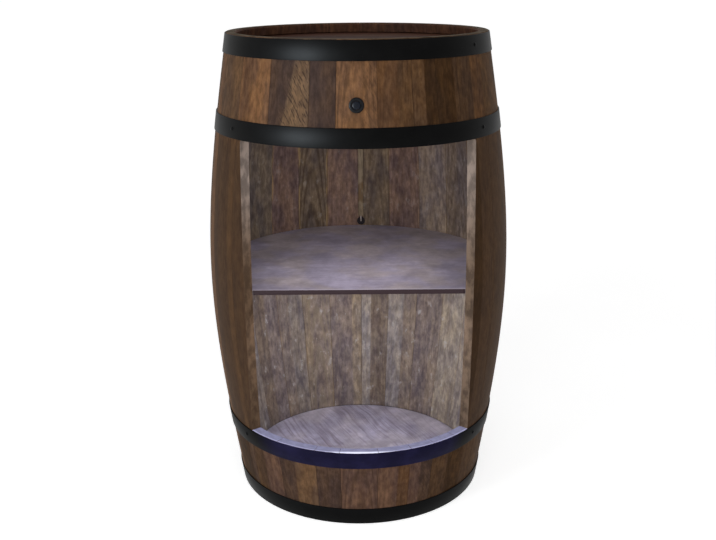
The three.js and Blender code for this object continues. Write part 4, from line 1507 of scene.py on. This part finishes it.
class BARREL_OT_leads(Operator):
    """Make the supply lead and the light's lead along their routes"""

    bl_idname = "barrel.leads"
    bl_label = "Leads"

    def execute(self, context):
        for node, corners in (("supply_lead", SUPPLY_LEAD), ("light_lead", LIGHT_LEAD)):
            shape = tube(route(corners), LEAD_RADIUS)
            piece(node + "_sheath", shape, lead_sheath, node)
        return {"FINISHED"}


# Camera, light and floor


def add_camera(scene):
    """The camera at the photograph's view."""
    data = bpy.data.cameras.new("camera")
    data.lens = stage_values().lens
    data.sensor_width = 36
    data.clip_end = 100
    camera = bpy.data.objects.new("camera", data)
    scene.collection.objects.link(camera)
    x, y, z = CAMERA_PLACE
    camera.matrix_world = (
        Matrix.Translation((x, y + AXIS_Y, z))
        @ Matrix.Rotation(math.radians(CAMERA_TURN), 4, "Z")
        @ Matrix.Rotation(math.radians(90 - CAMERA_TILT), 4, "X")
        @ Matrix.Rotation(math.radians(CAMERA_ROLL), 4, "Z")
    )
    scene.camera = camera


def add_daylight(scene):
    """Even light of a plain strength, in a world that the camera sees as white."""
    world = Recipe(bpy.data.worlds.new("daylight"))
    scene.world = world.made
    strengths = {"Value": world.seen(), "To Min": stage_values().daylight, "To Max": 1.0}
    background = world.tree.nodes["Background"]
    world.fill(background.inputs["Color"], grey(1))
    world.fill(background.inputs["Strength"], world.node("ShaderNodeMapRange", None, strengths))


def area_lamp(name, watts, size, place, target, tone=(1, 1, 1)):
    """A soft rectangular lamp at a place that faces a target."""
    data = bpy.data.lights.new(name, "AREA")
    data.shape = "RECTANGLE"
    data.size, data.size_y = size
    data.energy = watts
    data.color = tone
    lamp = bpy.data.objects.new(name, data)
    bpy.context.scene.collection.objects.link(lamp)
    lamp.visible_camera = False
    lamp.location = place
    lamp.rotation_euler = (Vector(target) - Vector(place)).to_track_quat("-Z", "Y").to_euler()
    return lamp


def add_lamps(values):
    """A window on the left, a front lamp, a lamp for sheen alone, and two for the light strip's glow."""
    middle = (0, 0, 0.42)
    cool = (0.86, 0.90, 1.0)
    area_lamp("window", values.window, (0.6, 1.3), (-1.75, -1.75, 0.95), middle, (0.95, 0.98, 1.0))
    front_lamp = area_lamp("front_lamp", values.fill, (2.4, 1.5), (0.1, -2.6, 0.80), middle)
    front_lamp.visible_glossy = False
    sheen_place, sheen_target = (-1.55, -1.7, 0.80), (0, 0, 0.75)
    sheen = area_lamp("sheen", values.sheen, (0.8, 0.8), sheen_place, sheen_target, (0.82, 0.92, 1.0))
    sheen.visible_diffuse = False
    front = AXIS_Y - 0.205
    under_strip, over_shelf = (0, front, OPENING_TOP + 0.002), (0, front + 0.20, 0.40)
    area_lamp("strip_glow", values.glow, (0.16, 0.012), under_strip, over_shelf, cool)
    under_shelf, on_floor = (0, SHELF_LOW.y + 0.015, SHELF_LOW.z - 0.012), (0, AXIS_Y + 0.08, 0.085)
    area_lamp("low_glow", values.low_glow, (0.28, 0.02), under_shelf, on_floor, cool)


def add_floor(scene):
    """A wide round floor at height zero: points at reach times cos a and sin a."""
    reach, sides = 60.0, 64
    turns = np.linspace(0, math.tau, sides, endpoint=False)
    points = np.stack([reach * np.cos(turns), reach * np.sin(turns), np.zeros(sides)], -1)
    mesh = bpy.data.meshes.new("ground")
    mesh.from_pydata(points.tolist(), [], [list(range(sides))])
    mesh.materials.append(material(ground_white))
    ground = bpy.data.objects.new("ground", mesh)
    scene.collection.objects.link(ground)


class BARREL_OT_stage(Operator):
    """Make the camera, the lamps, the even daylight and the pale floor"""

    bl_idname = "barrel.stage"
    bl_label = "Stage"

    def execute(self, context):
        scene = context.scene
        add_camera(scene)
        scene.view_settings.view_transform = "Standard"
        add_daylight(scene)
        add_lamps(stage_values())
        add_floor(scene)
        return {"FINISHED"}


class BARREL_PT_cabinet(Panel):
    """Lists the sizes, the colours, the stage's values and the pieces"""

    bl_idname = "BARREL_PT_cabinet"
    bl_label = "Barrel Bar Cabinet"
    bl_space_type = "VIEW_3D"
    bl_region_type = "UI"
    bl_category = "Barrel"

    def draw(self, context):
        for group in (sizes(), colours(), stage_values()):
            box = self.layout.box()
            for name in group.bl_rna.properties.keys():
                if name not in ("rna_type", "name"):
                    box.prop(group, name)
        for operator in OPERATORS:
            self.layout.operator(operator.bl_idname)


OPERATORS = (
    BARREL_OT_stage,
    BARREL_OT_staves,
    BARREL_OT_hoops,
    BARREL_OT_fasteners,
    BARREL_OT_heads,
    BARREL_OT_shelf,
    BARREL_OT_push_button,
    BARREL_OT_light_strip,
    BARREL_OT_duct,
    BARREL_OT_grommet,
    BARREL_OT_leads,
)
CLASSES = (BarrelSizes, BarrelColours, BarrelStage, *OPERATORS, BARREL_PT_cabinet)


def register():
    for each in CLASSES:
        bpy.utils.register_class(each)
    bpy.types.Scene.barrel_sizes = PointerProperty(type=BarrelSizes)
    bpy.types.Scene.barrel_colours = PointerProperty(type=BarrelColours)
    bpy.types.Scene.barrel_stage = PointerProperty(type=BarrelStage)


def unregister():
    del bpy.types.Scene.barrel_stage
    del bpy.types.Scene.barrel_colours
    del bpy.types.Scene.barrel_sizes
    for each in reversed(CLASSES):
        bpy.utils.unregister_class(each)


def main():
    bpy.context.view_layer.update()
    register()
    bpy.ops.barrel.stage()
    bpy.ops.barrel.staves()
    bpy.ops.barrel.hoops()
    bpy.ops.barrel.fasteners()
    bpy.ops.barrel.heads()
    bpy.ops.barrel.shelf()
    bpy.ops.barrel.push_button()
    bpy.ops.barrel.light_strip()
    bpy.ops.barrel.duct()
    bpy.ops.barrel.grommet()
    bpy.ops.barrel.leads()


if __name__ == "__main__":
    main()
